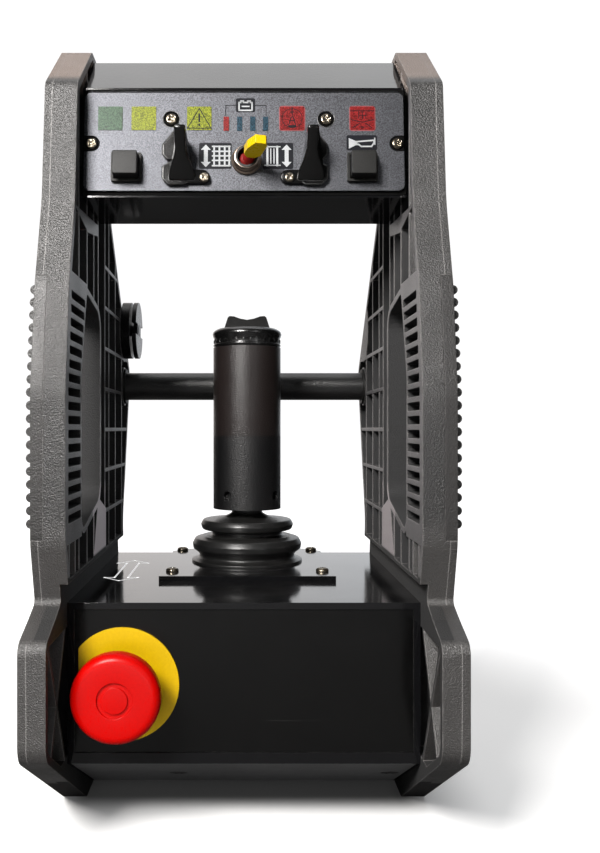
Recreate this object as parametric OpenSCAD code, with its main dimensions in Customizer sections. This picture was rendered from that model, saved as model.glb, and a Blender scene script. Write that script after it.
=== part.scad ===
// Hand-held control box of a scissor lift: two moulded side cheeks carry a steel lower
// case with a joystick and an emergency stop, a crossbar, and an upper case whose sloping
// panel holds the selector, the two push-buttons and the status lamps.
// Lengths are millimetres. X is to the right and Y runs from the front to the back.
// The origin lies on the floor under the middle of the box.

/* [Overall] */
// Width over the flat outer faces of the cheeks
width = 206; // [200:1:216]
// Depth from the bumpers' front to the cheeks' rearmost point
depth = 258; // [254:1:270]
// Height of the cheeks above the floor
height = 424; // [418:1:440]

/* [Side cheeks] */
// Thickness of a cheek above the lower case
cheek_t = 17; // [16:0.5:20]
// Thickness of a cheek beside the lower case
bumper_t = 13; // [11:0.5:14]
// Outer skin left behind the cored pockets
skin_t = 3; // [2:0.5:4]
// Flange that runs round the edge of a cheek
rim_t = 4; // [3:0.5:5]
// Thickness of the stiffening ribs
rib_t = 2.2; // [1.6:0.2:3]
// Wall round the hand-hole
hole_wall_t = 3.4; // [2.4:0.2:4]
// Height between the ribs of the rear field
rib_pitch = 25.2; // [20:0.4:30]
// Height of the cheeks' inner ledge above the lower case
ledge_rise = 12.5; // [8:0.5:14]
// Depth of the pocket in the inner side of each bumper
bumper_pocket = 8; // [5:0.5:9]
// Radius of the long soft bends of the outline
bend_r = 60; // [40:5:70]
// Radius of the outline's corners
corner_r = 7; // [4:1:9]
// Radius of the bumper's nose
nose_r = 12; // [8:1:16]

/* [Grips] */
// Number of cored slots in the inner side of a grip
slot_count = 17; // [12:1:18]
// Height from one slot to the next
slot_pitch = 7; // [6.4:0.1:7.2]
// Height of a slot's opening
slot_h = 4.2; // [3:0.2:4.8]
// Wall between the front of a grip and its slots
slot_front_wall = 7; // [5:0.5:9]
// Lip between the slots and the hand-hole
slot_lip = 2.4; // [1.6:0.2:3.2]
// Thickness of the soft pad let into the outer side of a grip
pad_t = 6; // [4:0.5:7]
// Number of ridges across a pad
ridge_count = 19; // [12:1:21]
// Height from one ridge to the next
ridge_pitch = 6.4; // [5.8:0.1:6.8]
// Radius of a ridge's round top
ridge_r = 2.3; // [1.6:0.1:2.6]
// How far the ridges stand out from the pad
ridge_proud = 3; // [2:0.2:4]

/* [Lower case] */
// Distance from the bumpers' front to the case's front flange
case_front = 48; // [44:1:54]
// Length of the case from front to back
case_len = 178; // [172:1:180]
// Height of the case's top above the floor
case_top = 122; // [116:1:128]
// Height of the edge where the front turns under
chin_h = 40; // [34:1:46]
// Length of the sloping underside, measured along the floor
slope_run = 71; // [62:1:85]
// Clearance between the case and the floor
floor_gap = 2.5; // [2:0.5:5]
// Sheet thickness of the case
sheet_t = 2; // [1.5:0.5:3]
// Width of the front flange round the face panel
flange_w = 3.4; // [2.5:0.1:5]
// How far the face panel sits behind the flange
face_recess = 1; // [0.5:0.1:2]

/* [Joystick] */
// Distance of the joystick's axis behind the bumpers' front
stick_back = 170.5; // [166:0.5:172]
// How far the joystick stands to the right of the box's middle
stick_x = 2; // [0:0.5:4]
// Width of the gate plate
gate_w = 103; // [96:1:112]
// Length of the gate plate
gate_len = 114.5; // [108:0.5:116]
// Thickness of the gate plate
gate_t = 3; // [2:0.5:4]
// How far the gate plate's screws stand in from its sides
gate_screw_x = 6.5; // [5.5:0.1:8]
// Spacing of the gate screws along the box
gate_screw_y = 89; // [84:1:92]
// Radius of the joystick's base under the case top
base_r = 33; // [31:0.5:34]
// Height of the joystick's base
base_h = 38; // [34:1:44]
// Wall of the joystick's base
base_wall = 4; // [3:0.5:5]
// Depth of the tilt axis below the case top
pivot_drop = 8; // [6:0.5:10]
// Radius of the tilt pin
pivot_r = 3; // [2.5:0.25:3.5]
// Radius of the joystick's shaft
shaft_r = 6; // [5:0.5:7]
// Height of the grip's lower end above the case top
grip_rise = 37; // [35:0.5:40]
// Radius of the joystick's grip
grip_r = 21.85; // [20:0.05:22.5]
// Length of the grip below its cap
grip_len = 104; // [98:1:108]
// Wall of the grip
grip_wall = 4.3; // [3.5:0.1:5]
// Height of the grip's cap
cap_h = 12; // [10.5:0.5:13]
// How far the cap's bead stands out and its band lies back
cap_flare = 0.5; // [0.2:0.1:0.8]
// Radius of the screw holes round the grip's foot
grip_hole_r = 3; // [2:0.5:3.5]

/* [Joystick boot] */
// Radius of the boot's foot
boot_foot_r = 35.7; // [34:0.1:36.5]
// Radius of the boot's lower bellow
boot_low_r = 35.3; // [33:0.1:36]
// Radius of the boot's upper bellow
boot_high_r = 30; // [28:0.5:32]
// Thickness of the boot's rubber
boot_wall = 1.8; // [1.2:0.1:2.4]

/* [Thumb rocker] */
// Width of the rocker across the grip
rocker_w = 29; // [26:0.5:30]
// Length of the rocker from front to back
rocker_len = 12.4; // [10:0.2:14]
// Height of the rocker's raised ends above the cap
rocker_proud = 8.3; // [6:0.1:9]
// Radius of the rocker's pin
rocker_pin_r = 1.5; // [1.2:0.1:1.8]

/* [Trigger] */
// Width of the trigger
trigger_w = 11; // [9:0.5:12]
// Length of the trigger below its pin
trigger_len = 44; // [38:1:48]
// How far the trigger stands out of the grip
trigger_proud = 3.4; // [2.5:0.1:3.6]

/* [Emergency stop] */
// Distance of the stop to the left of the middle
stop_left = 62; // [58:0.5:64]
// Height of the stop above the floor
stop_h = 80.4; // [76:0.2:84]
// Radius of the yellow disc
legend_r = 29; // [26:0.5:30]
// Radius of the red head
stop_head_r = 22; // [20:0.5:23]
// Distance from the face panel to the front of the head
stop_proud = 28.7; // [26:0.1:31]
// Thickness of the head
stop_head_t = 16.5; // [15:0.5:17]
// Radius of the collar behind the head
stop_collar_r = 15; // [13.5:0.5:17]
// Thickness of the collar
stop_collar_t = 5.6; // [4:0.2:5.8]
// Radius of the threaded barrel through the panel
stop_barrel_r = 11; // [10:0.5:12]
// Radius of the stem
stop_stem_r = 6; // [5:0.5:7]
// Travel of the head when it is struck
stop_travel = 4.5; // [3.5:0.1:4.6]

/* [Upper case] */
// Distance from the bumpers' front to the panel's lower edge
upper_front = 65; // [60:1:70]
// Height of the upper case's underside below the cheeks' tops
upper_drop = 91; // [88:1:96]
// Height of the sloping face
face_h = 60.5; // [58:0.5:64]
// Backward slope of the face in degrees
face_tilt = 6; // [3:0.5:9]
// Depth of the bevel over the face
bevel_run = 31; // [26:1:34]
// Rise of the bevel over the face
bevel_rise = 26.5; // [22:0.5:28]
// Depth of the upper case's underside
upper_len = 59; // [56:1:64]
// Depth of the flat on top of the upper case
upper_top_len = 9; // [6:1:12]

/* [Control panel] */
// Width of the grey panel
panel_w = 170; // [164:0.5:171]
// Height of the grey panel
panel_h = 55; // [52:0.5:56]
// Thickness of the grey panel
panel_t = 2; // [1.5:0.5:3]
// Corner radius of the grey panel
panel_r = 4; // [2:0.5:6]
// Width of a push-button's cap
button_w = 13; // [11:0.5:14]
// Height of a push-button's cap
button_h = 12.6; // [11:0.2:14]
// How far a button's cap stands out
button_proud = 9; // [7:0.5:11]
// Travel of a push-button
button_travel = 2.5; // [2:0.1:3]
// Radius of the selector's nut
bezel_r = 7.4; // [6.6:0.1:8]
// Length of the selector's lever from the panel
lever_len = 27; // [22:1:30]
// Sideways lean of the selector's lever in degrees
lever_lean = 14; // [10:1:16]
// Width of the square lamp windows
lens_w = 13; // [11:0.2:13.4]
// How far the switch guards stand out
guard_proud = 22; // [18:0.5:26]

/* [Crossbar and latch] */
// Radius of the crossbar
bar_r = 9.75; // [8:0.25:10.5]
// Radius of the latch barrel
barrel_r = 20; // [18:0.5:21]
// Length of the latch barrel beyond the cheek
barrel_len = 6; // [4.5:0.5:10]

/* [Hidden] */
$fn = 48;

// One overrun serves all cuts, and one clearance all close fits between fixed pieces.
cut = 1;
fit = 0.3;
running_fit = 0.05;

half_w = width / 2;
cheek_in = half_w - cheek_t;
bumper_in = half_w - bumper_t;
front_y = -depth / 2;
upper_h = height - case_top;
ledge_z = case_top + ledge_rise;
arc_steps = 6;

// Outline of a cheek: share of the depth, share of the height of its zone, and radius.
upper_front_shares = [[0.376, 1, corner_r], [0.213, 0.887, corner_r], [0.184, 0.679, bend_r],
    [0.126, 0.526, bend_r], [0.092, 0.351, bend_r], [0.092, 0.109, bend_r / 2],
    [0.128, 0.010, corner_r / 2]];
lower_shares = [[0.078, 0.98, corner_r], [0, 0.918, corner_r], [0, 0.484, nose_r],
    [0.395, 0, corner_r], [0.888, 0, corner_r], [0.888, 0.918, nose_r]];
upper_rear_shares = [[0.857, 0.079, bend_r / 2], [1.007, 0.427, nose_r], [0.651, 0.732, bend_r],
    [0.434, 1, corner_r]];
// Hand-hole: share of the depth, share of the upper height, and radius.
hole_shares = [[0.256, 0.112, corner_r], [0.251, 0.385, bend_r / 2], [0.314, 0.539, corner_r / 2],
    [0.481, 0.517, nose_r], [0.481, 0.159, nose_r]];
// Ribs that run up a cheek, as shares of the depth.
upright_shares = [0.226, 0.316, 0.398, 0.455, 0.55, 0.611, 0.717, 0.833];
// Lower front field's own short uprights.
short_upright_shares = [0.130, 0.188];
// Uncored web behind the hand-hole's foot: shares of depth and of upper height.
web_shares = [[0.388, 0.03], [0.566, 0.03], [0.566, 0.13], [0.455, 0.16]];
// Shelf under the upper case.
shelf_shares = [[0.18, 0.672], [0.33, 0.652], [0.45, 0.668], [0.45, 0.69]];
// Grip zone that keeps its full thickness.
grip_zone_shares = [[-0.1, 0.105], [0.256, 0.105], [0.251, 0.385], [0.314, 0.555], [-0.1, 0.555]];
pad_zone_shares = [[-0.1, 0.115], [0.25, 0.115], [0.27, 0.385], [0.31, 0.545], [-0.1, 0.545]];

// Distance behind the bumpers' front, as a place in Y.
function back(distance) = front_y + distance;
function upper_point(share) = [back(share.x * depth), case_top + share.y * upper_h];
function lower_point(share) = [back(share.x * depth), share.y * case_top];
outline_points = concat([for (share = upper_front_shares) upper_point(share)],
    [for (share = lower_shares) lower_point(share)],
    [for (share = upper_rear_shares) upper_point(share)]);
outline_radii = [for (share = concat(upper_front_shares, lower_shares, upper_rear_shares)) share[2]];
hole_points = [for (share = hole_shares) upper_point(share)];
hole_radii = [for (share = hole_shares) share[2]];
shelf_points = [for (share = shelf_shares) upper_point(share)];
grip_zone = [for (share = grip_zone_shares) upper_point(share)];
pad_zone = [for (share = pad_zone_shares) upper_point(share)];
slots_made = min(slot_count, floor((grip_zone[4].y - grip_zone[0].y) / slot_pitch));
ridges_made = min(ridge_count, floor((pad_zone[4].y - pad_zone[0].y) / ridge_pitch));

// Arc of radius r that rounds corner p between its neighbours a and b.
function unit_vector(v) = v / norm(v);
function corner_arc(a, p, b, r) =
    let (u = unit_vector(a - p), w = unit_vector(b - p), half = acos(u * w) / 2,
        centre = p + unit_vector(u + w) * r / sin(half),
        first = p + u * r / tan(half) - centre, last = p + w * r / tan(half) - centre,
        start = atan2(first.y, first.x), turn = atan2(last.y, last.x) - start,
        sweep = turn > 180 ? turn - 360 : turn < -180 ? turn + 360 : turn)
    [for (i = [0:arc_steps]) centre + r * [cos(start + sweep * i / arc_steps),
        sin(start + sweep * i / arc_steps)]];
function rounded(points, radii) =
    let (n = len(points))
    [for (i = [0:n - 1]) each corner_arc(points[(i + n - 1) % n], points[i],
        points[(i + 1) % n], radii[i])];
// Sharp outline moved inwards by t; a negative t moves it outwards. Corners run clockwise
// or anticlockwise as turn_sign says.
function moved_in(points, t, turn_sign) =
    let (n = len(points))
    [for (i = [0:n - 1])
        let (a = points[(i + n - 1) % n], p = points[i], b = points[(i + 1) % n],
            u = unit_vector(a - p), w = unit_vector(b - p), half = acos(u * w) / 2,
            side = sign(cross(p - a, b - p)) * turn_sign)
        p + side * unit_vector(u + w) * t / sin(half)];
function bend_signs(points, turn_sign) =
    let (n = len(points))
    [for (i = [0:n - 1])
        sign(cross(points[i] - points[(i + n - 1) % n], points[(i + 1) % n] - points[i])) * turn_sign];
function moved_radii(points, radii, t, turn_sign) =
    let (signs = bend_signs(points, turn_sign))
    [for (i = [0:len(radii) - 1]) max(radii[i] - signs[i] * t, rib_t / 2)];

outline = rounded(outline_points, outline_radii);
inner_outline = rounded(moved_in(outline_points, rim_t, 1),
    moved_radii(outline_points, outline_radii, rim_t, 1));
hole = rounded(hole_points, hole_radii);
hole_wall = rounded(moved_in(hole_points, -hole_wall_t, -1),
    moved_radii(hole_points, hole_radii, -hole_wall_t, -1));

// Places on the cheeks.
grip_front_table = [for (i = [6:-1:2]) [outline_points[i].y, outline_points[i].x]];
hole_front_table = [for (i = [0:2]) [hole_points[i].y, hole_points[i].x]];
slot_mid_z = case_top + 0.331 * upper_h;
slot_floor = half_w - pad_t - sheet_t;
function upper_place(depth_share, height_share) = upper_point([depth_share, height_share]);
bar_at = upper_place(0.895, 0.394);
latch_at = upper_place(0.884, 0.526);
lower_bolt_shares = [[0.093, 0.8], [0.44, 0.45], [0.73, 0.8]];
lower_bolts_at = [for (share = lower_bolt_shares)
    [back(case_front + share.x * case_len), share.y * case_top]];
bolt_r = 3;
bolt_head_r = 5.2;
bolt_head_t = 3.2;
bolt_sunk = 0.4;
bolt_end = 6;
boss_r = 8;

// Lays a flat drawing of (Y, Z) across the box between two places in X.
module across(x_from, x_to) {
    translate([x_from, 0, 0]) rotate([90, 0, 90]) linear_extrude(x_to - x_from) children();
}
// A round bar across the box at a place given as [Y, Z].
module bar_across(place, r, x_from, x_to) {
    translate([x_from, place.x, place.y]) rotate([0, 90, 0]) cylinder(r = r, h = x_to - x_from);
}
module on_side(side) {
    if (side < 0) mirror([1, 0, 0]) children();
    else children();
}
// Rectangle with rounded corners about the origin.
module soft_rect(w, h, r) {
    polygon(rounded([[-w / 2, -h / 2], [w / 2, -h / 2], [w / 2, h / 2], [-w / 2, h / 2]],
        [r, r, r, r]));
}

// Cheeks, drawn for the right-hand side

module cored_field() {
    difference() {
        polygon(inner_outline);
        polygon(hole_wall);
        polygon(grip_zone);
        polygon([for (share = web_shares) upper_point(share)]);
        polygon(shelf_points);
        translate([front_y, 0]) square([depth, ledge_z + rib_t]);
        for (share = upright_shares)
            translate([back(share * depth) - rib_t / 2, 0]) square([rib_t, height]);
        for (share = short_upright_shares)
            translate([back(share * depth) - rib_t / 2, 0]) square([rib_t, slot_mid_z]);
        for (z = [ledge_z + rib_pitch:rib_pitch:ledge_z + rib_pitch * 7 + rib_t])
            translate([back(upright_shares[4] * depth), z - rib_t / 2]) square([depth, rib_t]);
        translate(bar_at) circle(r = bar_r + rim_t);
        translate(latch_at) circle(r = barrel_r + rib_t);
        for (place = upper_bolts_at) translate(place) circle(r = boss_r);
    }
}
// Pocket in the inner side of a bumper, crossed by two diagonal ribs.
pocket_foot_z = chin_h + rim_t;
pocket_head_z = case_top - rim_t * 3;
module bumper_pocket_outline() {
    pocket_back = back(case_front + bumper_t);
    difference() {
        intersection() {
            polygon(inner_outline);
            translate([front_y, pocket_foot_z])
                square([pocket_back - front_y, pocket_head_z - pocket_foot_z]);
        }
        for (rise = [-1, 1])
            translate([back(case_front / 2), (pocket_foot_z + pocket_head_z) / 2])
                rotate(rise * 60) square([depth, rib_t], center = true);
    }
}
module grip_slots() {
    for (i = [0:slots_made - 1]) {
        z = slot_mid_z + (i - (slots_made - 1) / 2) * slot_pitch;
        y_from = lookup(z, grip_front_table) + slot_front_wall;
        y_to = lookup(z, hole_front_table) - slot_lip;
        translate([(y_from + y_to) / 2, z]) soft_rect(y_to - y_from, slot_h, slot_h * 0.3);
    }
}
module bolt_hole(place, x_from) {
    bar_across(place, bolt_r, x_from, half_w + cut);
    bar_across(place, bolt_head_r + fit, half_w - bolt_head_t - bolt_sunk, half_w + cut);
}
module pad_outline() {
    intersection() {
        polygon(outline);
        difference() {
            polygon(pad_zone);
            polygon(hole);
        }
    }
}
module cheek() {
    difference() {
        across(cheek_in, half_w) polygon(outline);
        across(cheek_in - cut, bumper_in) translate([front_y - cut, -cut])
            square([depth + 2 * cut, ledge_z + cut]);
        across(cheek_in - cut, half_w + cut) polygon(hole);
        across(cheek_in - cut, half_w - skin_t) cored_field();
        across(cheek_in - cut, slot_floor) grip_slots();
        across(bumper_in - cut, bumper_in + bumper_pocket) bumper_pocket_outline();
        across(half_w - pad_t, half_w + cut) polygon(pad_zone);
        for (place = upper_bolts_at) bolt_hole(place, cheek_in - cut);
        for (place = lower_bolts_at) bolt_hole(place, bumper_in - cut);
        bolt_hole(bar_at, cheek_in - cut);
    }
}
module left_cheek() { color([0.16, 0.16, 0.165]) on_side(-1) cheek(); }
module right_cheek() { color([0.16, 0.16, 0.165]) on_side(1) cheek(); }

// Soft pad let into the outer side of a grip, with half-round ridges.
module grip_pad() {
    across(half_w - pad_t, half_w) pad_outline();
    for (i = [0:ridges_made - 1]) {
        z = slot_mid_z + (i - (ridges_made - 1) / 2) * ridge_pitch;
        y_from = lookup(z, grip_front_table) + rim_t;
        y_to = lookup(z, hole_front_table) - rim_t * 1.6;
        translate([half_w + ridge_proud - ridge_r, y_from, z]) rotate([-90, 0, 0])
            cylinder(r = ridge_r, h = y_to - y_from, $fn = 24);
    }
}
module left_grip_pad() { color([0.2, 0.2, 0.205]) on_side(-1) grip_pad(); }
module right_grip_pad() { color([0.2, 0.2, 0.205]) on_side(1) grip_pad(); }

// Lower case

case_rear = case_front + case_len;
case_points = [[back(case_front), case_top], [back(case_front), chin_h],
    [back(case_front + slope_run), floor_gap], [back(case_rear), floor_gap],
    [back(case_rear), case_top]];
case_inner = moved_in(case_points, sheet_t, 1);
face_y = back(case_front) + face_recess;
face_w = 2 * (bumper_in - flange_w);
face_top = case_top - flange_w;
face_foot = chin_h + flange_w + sheet_t;
stick_y = back(stick_back);
gate_screw_r = 2;
gate_head_r = 3.8;
gate_head_t = 2.2;
gate_rear_screw_y = stick_y + gate_screw_y / 2;
gate_rear = gate_rear_screw_y + gate_head_r * 2.3;
gate_front_screw_y = gate_rear - gate_len + gate_head_r * 4.41;
gate_screws_at = [for (x = [-1, 1], y = [gate_front_screw_y, gate_rear_screw_y])
    [x * (gate_w / 2 - gate_screw_x), y]];
gland_z = case_top / 2;
gland_x = bumper_in / 2;
gland_thread_r = 10;
gland_bore_r = 5;
gland_len = 24;

// Everything on the gate plate stands in line with the joystick.
module on_stick() {
    translate([stick_x, 0, 0]) children();
}
module base_strip() {
    difference() {
        polygon(case_points);
        polygon(case_inner);
        translate([front_y, chin_h]) square([case_rear + cut, case_top]);
        translate([back(case_rear) - sheet_t, 0]) square([sheet_t + cut, case_top]);
    }
}
module lower_case() {
    color([0.05, 0.05, 0.055]) difference() {
        across(-bumper_in, bumper_in) polygon(case_points);
        across(-bumper_in + sheet_t, bumper_in - sheet_t) polygon(case_inner);
        across(-bumper_in + sheet_t, bumper_in - sheet_t) base_strip();
        translate([-face_w / 2, back(case_front) - cut, face_foot])
            cube([face_w, cut + sheet_t + cut, face_top - face_foot]);
        on_stick() translate([0, stick_y, case_top - sheet_t - cut])
            cylinder(r = base_r + fit, h = sheet_t + 2 * cut);
        on_stick() for (place = gate_screws_at)
            translate([place.x, place.y, case_top - sheet_t - cut])
                cylinder(r = gate_screw_r, h = sheet_t + 2 * cut);
        translate([gland_x, back(case_rear) - sheet_t - cut, gland_z]) rotate([-90, 0, 0])
            cylinder(r = gland_thread_r, h = sheet_t + 2 * cut);
        for (side = [-1, 1], place = lower_bolts_at)
            on_side(side) bar_across(place, bolt_r, bumper_in - sheet_t - cut, bumper_in + cut);
    }
}
// Plate behind the front flange, with the hole for the emergency stop. Its edges are
// folded back so that they rest behind the flange.
module face_panel() {
    color([0.03, 0.03, 0.03]) difference() {
        translate([-face_w / 2, face_y, face_foot]) cube([face_w, sheet_t, face_top - face_foot]);
        translate([-stop_left, face_y - cut, stop_h]) rotate([-90, 0, 0])
            cylinder(r = stop_barrel_r, h = sheet_t + 2 * cut);
    }
}
base_screw_x_shares = [-0.4, 0.89];
base_screw_r = 2.5;
base_screw_head_r = 5;
slope_angle = atan((chin_h - floor_gap) / slope_run);
slope_mid = [back(case_front + slope_run / 2), (chin_h + floor_gap) / 2];
module on_slope(x_share) {
    translate([x_share * bumper_in, slope_mid.x, slope_mid.y]) rotate([-slope_angle, 0, 0])
        rotate([180, 0, 0]) translate([0, 0, -sheet_t]) children();
}
module base_panel() {
    color([0.03, 0.03, 0.03]) difference() {
        across(-bumper_in + sheet_t, bumper_in - sheet_t) base_strip();
        for (share = base_screw_x_shares) on_slope(share)
            rotate_extrude() polygon([[0, -cut], [base_screw_r, -cut], [base_screw_r, 0],
                [base_screw_head_r, sheet_t], [base_screw_head_r, sheet_t + cut],
                [0, sheet_t + cut]]);
    }
}
module base_screws() {
    color([0.2, 0.2, 0.2]) for (share = base_screw_x_shares) on_slope(share) {
        translate([0, 0, -bolt_end]) cylinder(r = base_screw_r, h = bolt_end + fit);
        cylinder(r1 = base_screw_r, r2 = base_screw_head_r, h = sheet_t);
    }
}
// Button-head bolt from the outer face of a cheek to a place in X inside the box.
module side_bolt(place, x_end) {
    bar_across(place, bolt_r, x_end, half_w - bolt_sunk - bolt_head_t / 2);
    bar_across(place, bolt_head_r, half_w - bolt_sunk - bolt_head_t, half_w - bolt_sunk);
}
module lower_case_bolts() {
    color("dimgray") for (side = [-1, 1], place = lower_bolts_at)
        on_side(side) side_bolt(place, bumper_in - sheet_t - bolt_end);
}
module cable_gland() {
    color([0.1, 0.1, 0.1]) translate([gland_x, back(case_rear), gland_z]) rotate([-90, 0, 0])
        difference() {
            union() {
                translate([0, 0, -sheet_t - bolt_end])
                    cylinder(r = gland_thread_r, h = sheet_t + bolt_end + cut);
                cylinder(r = gland_thread_r * 1.3, h = gland_len * 0.3, $fn = 6);
                cylinder(r = gland_thread_r, h = gland_len * 0.5);
                translate([0, 0, gland_len * 0.36])
                    cylinder(r = gland_thread_r * 1.2, h = gland_len * 0.64);
            }
            translate([0, 0, -sheet_t - bolt_end - cut])
                cylinder(r = gland_bore_r, h = sheet_t + bolt_end + gland_len + 2 * cut);
        }
}
module cable_gland_nut() {
    color([0.1, 0.1, 0.1]) translate([gland_x, back(case_rear) - sheet_t, gland_z])
        rotate([90, 0, 0]) difference() {
            cylinder(r = gland_thread_r * 1.35, h = bolt_end * 0.8, $fn = 6);
            translate([0, 0, -cut]) cylinder(r = gland_thread_r, h = bolt_end + 2 * cut);
        }
}

// Joystick

gate_top = case_top + gate_t;
gate_cut = gate_head_r * 3;
gate_points = [[-gate_w / 2, gate_rear - gate_len], [gate_w / 2, gate_rear - gate_len],
    [gate_w / 2, gate_rear - gate_cut], [gate_w / 2 - gate_cut, gate_rear],
    [-gate_w / 2 + gate_cut, gate_rear], [-gate_w / 2, gate_rear - gate_cut]];
gate_hole_r = base_r - base_wall;
pivot_z = case_top - pivot_drop;
cavity_r = base_r - base_wall;
hub_r = 8;
hub_w = 22;
tail_len = 16;
grip_foot = case_top + grip_rise;
grip_head = grip_foot + grip_len;
cap_top = grip_head + cap_h;
cavity_foot = grip_foot + grip_wall * 1.8;

module gate_plate() {
    color([0.06, 0.06, 0.065]) translate([0, 0, case_top]) difference() {
        linear_extrude(gate_t) polygon(gate_points);
        translate([0, stick_y, -cut]) cylinder(r = gate_hole_r, h = gate_t + 2 * cut);
        for (place = gate_screws_at)
            translate([place.x, place.y, -cut]) cylinder(r = gate_screw_r, h = gate_t + 2 * cut);
    }
}
module gate_screws() {
    color("silver") for (place = gate_screws_at) translate([place.x, place.y, gate_top]) {
        translate([0, 0, -gate_t - sheet_t - bolt_end])
            cylinder(r = gate_screw_r, h = gate_t + sheet_t + bolt_end + gate_head_t / 2);
        rotate_extrude() polygon([[0, 0], [gate_head_r, 0], [gate_head_r, gate_head_t * 0.4],
            [gate_head_r * 0.75, gate_head_t * 0.85], [0, gate_head_t]]);
    }
}
// Cup under the gate plate that carries the tilt pin.
module joystick_base() {
    color([0.08, 0.08, 0.08]) difference() {
        translate([0, stick_y, case_top - base_h]) cylinder(r = base_r, h = base_h);
        translate([0, stick_y, case_top - base_h + base_wall])
            cylinder(r = cavity_r, h = base_h);
        bar_across([stick_y, pivot_z], pivot_r, -base_r - cut, base_r + cut);
    }
}
module tilt_pin() {
    pin_half = base_r - base_wall * 0.4;
    color("silver") bar_across([stick_y, pivot_z], pivot_r, -pin_half, pin_half);
}
module tilt_sensor_board() {
    board_t = 1.6;
    color("darkgreen") translate([0, stick_y, case_top - base_h + base_wall])
        cylinder(r = cavity_r - fit, h = board_t);
}
// Hub on the tilt pin, the steel rod that rises into the grip, and the short tail
// that the sensor reads.
module joystick_shaft() {
    color("gray") difference() {
        union() {
            bar_across([stick_y, pivot_z], hub_r, -hub_w / 2, hub_w / 2);
            translate([0, stick_y, pivot_z - tail_len]) cylinder(r = shaft_r * 0.7, h = tail_len);
            translate([0, stick_y, pivot_z])
                cylinder(r = shaft_r, h = grip_foot + grip_len * 0.7 - pivot_z);
        }
        bar_across([stick_y, pivot_z], pivot_r + running_fit, -hub_w, hub_w);
    }
}
// Rubber bellows: foot on the gate plate, two rings, and a neck on the shaft.
boot_foot_t = 1.6;
low_tube = 4.7;
high_tube = 3.7;
boot_low_z = gate_top + boot_foot_t + low_tube * 1.9;
boot_high_z = boot_low_z + (low_tube + high_tube) * 1.42;
boot_neck_r = shaft_r + boot_wall;
boot_neck_z = grip_foot - fit;
low_waist_r = boot_low_r - low_tube * 1.1;
high_waist_r = boot_high_r - high_tube * 2.3;
function ring_arc(ring_r, z, tube, from, to) =
    [for (i = [0:arc_steps * 2]) let (a = from + (to - from) * i / (arc_steps * 2))
        [ring_r - tube + tube * cos(a), z + tube * sin(a)]];
boot_outer = concat([[boot_foot_r, gate_top], [boot_foot_r, gate_top + boot_foot_t],
    [low_waist_r, gate_top + boot_foot_t * 1.6]],
    ring_arc(boot_low_r, boot_low_z, low_tube, -80, 100),
    [[high_waist_r, boot_low_z + low_tube], [high_waist_r, boot_high_z - high_tube * 0.9]],
    ring_arc(boot_high_r, boot_high_z, high_tube, -85, 95),
    [[boot_neck_r + boot_wall * 1.5, boot_high_z + high_tube * 1.2], [boot_neck_r, boot_neck_z]]);
boot_inner = concat([[shaft_r + fit, boot_neck_z], [shaft_r + fit, boot_high_z + high_tube]],
    ring_arc(boot_high_r - boot_wall, boot_high_z, high_tube - boot_wall, 95, -85),
    [[high_waist_r - boot_wall, boot_high_z - high_tube],
    [high_waist_r - boot_wall, boot_low_z + low_tube]],
    ring_arc(boot_low_r - boot_wall, boot_low_z, low_tube - boot_wall, 100, -80),
    [[low_waist_r - boot_wall, gate_top]]);
module joystick_boot() {
    color([0.04, 0.04, 0.04]) translate([0, stick_y, 0])
        rotate_extrude($fn = 64) polygon(concat(boot_outer, boot_inner));
}

trigger_pin_at = [stick_y + grip_r - grip_wall - fit * 4, grip_head - grip_wall * 1.4];
trigger_pin_r = 1.5;
trigger_in = grip_r - grip_wall * 0.65;
trigger_out = grip_r + trigger_proud;
grip_hole_turn = -35;
module joystick_grip() {
    color([0.06, 0.055, 0.055]) difference() {
        translate([0, stick_y, grip_foot]) cylinder(r = grip_r, h = grip_len, $fn = 96);
        translate([0, stick_y, cavity_foot]) cylinder(r = grip_r - grip_wall, h = grip_len);
        translate([0, stick_y, grip_foot - cut]) cylinder(r = shaft_r, h = grip_len);
        for (i = [0:3]) translate([0, stick_y, grip_foot + grip_hole_r * 3])
            rotate([0, 0, grip_hole_turn + i * 90]) translate([0, -grip_r + grip_wall * 0.8, 0])
                rotate([90, 0, 0]) cylinder(r = grip_hole_r, h = grip_r);
        translate([-trigger_w / 2 - fit, stick_y, trigger_pin_at.y - trigger_len - fit * 4])
            cube([trigger_w + 2 * fit, grip_r * 2, grip_len]);
        bar_across(trigger_pin_at, trigger_pin_r, -grip_r, grip_r);
    }
}
// Cap from its foot up: a groove, a thin ring, a band that lies back, and a round bead.
band_r = grip_r - cap_flare;
bead_r = grip_r + cap_flare;
cap_points = [[0, 0], [band_r, 0], [band_r, cap_h * 0.06], [grip_r, cap_h * 0.09],
    [grip_r, cap_h * 0.16], [band_r, cap_h * 0.2], [band_r, cap_h * 0.45],
    [grip_r, cap_h * 0.56], [bead_r, cap_h * 0.66], [bead_r, cap_h * 0.76],
    [grip_r, cap_h * 0.86], [band_r * 0.96, cap_h * 0.95], [band_r * 0.9, cap_h], [0, cap_h]];
rocker_pivot_z = cap_top - cap_h * 0.33;
rocker_foot_drop = 3.4;
rocker_pocket_drop = 6.2;
module grip_cap() {
    color([0.05, 0.05, 0.05]) translate([0, stick_y, 0]) difference() {
        translate([0, 0, grip_head]) rotate_extrude($fn = 96) polygon(cap_points);
        translate([-rocker_w / 2 - fit * 3, -rocker_len / 2 - fit, rocker_pivot_z - rocker_pocket_drop])
            cube([rocker_w + fit * 6, rocker_len + fit * 2, cap_h]);
        translate([0, -grip_r * 0.7, rocker_pivot_z]) rotate([-90, 0, 0])
            cylinder(r = rocker_pin_r, h = grip_r * 1.4);
    }
}
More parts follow.
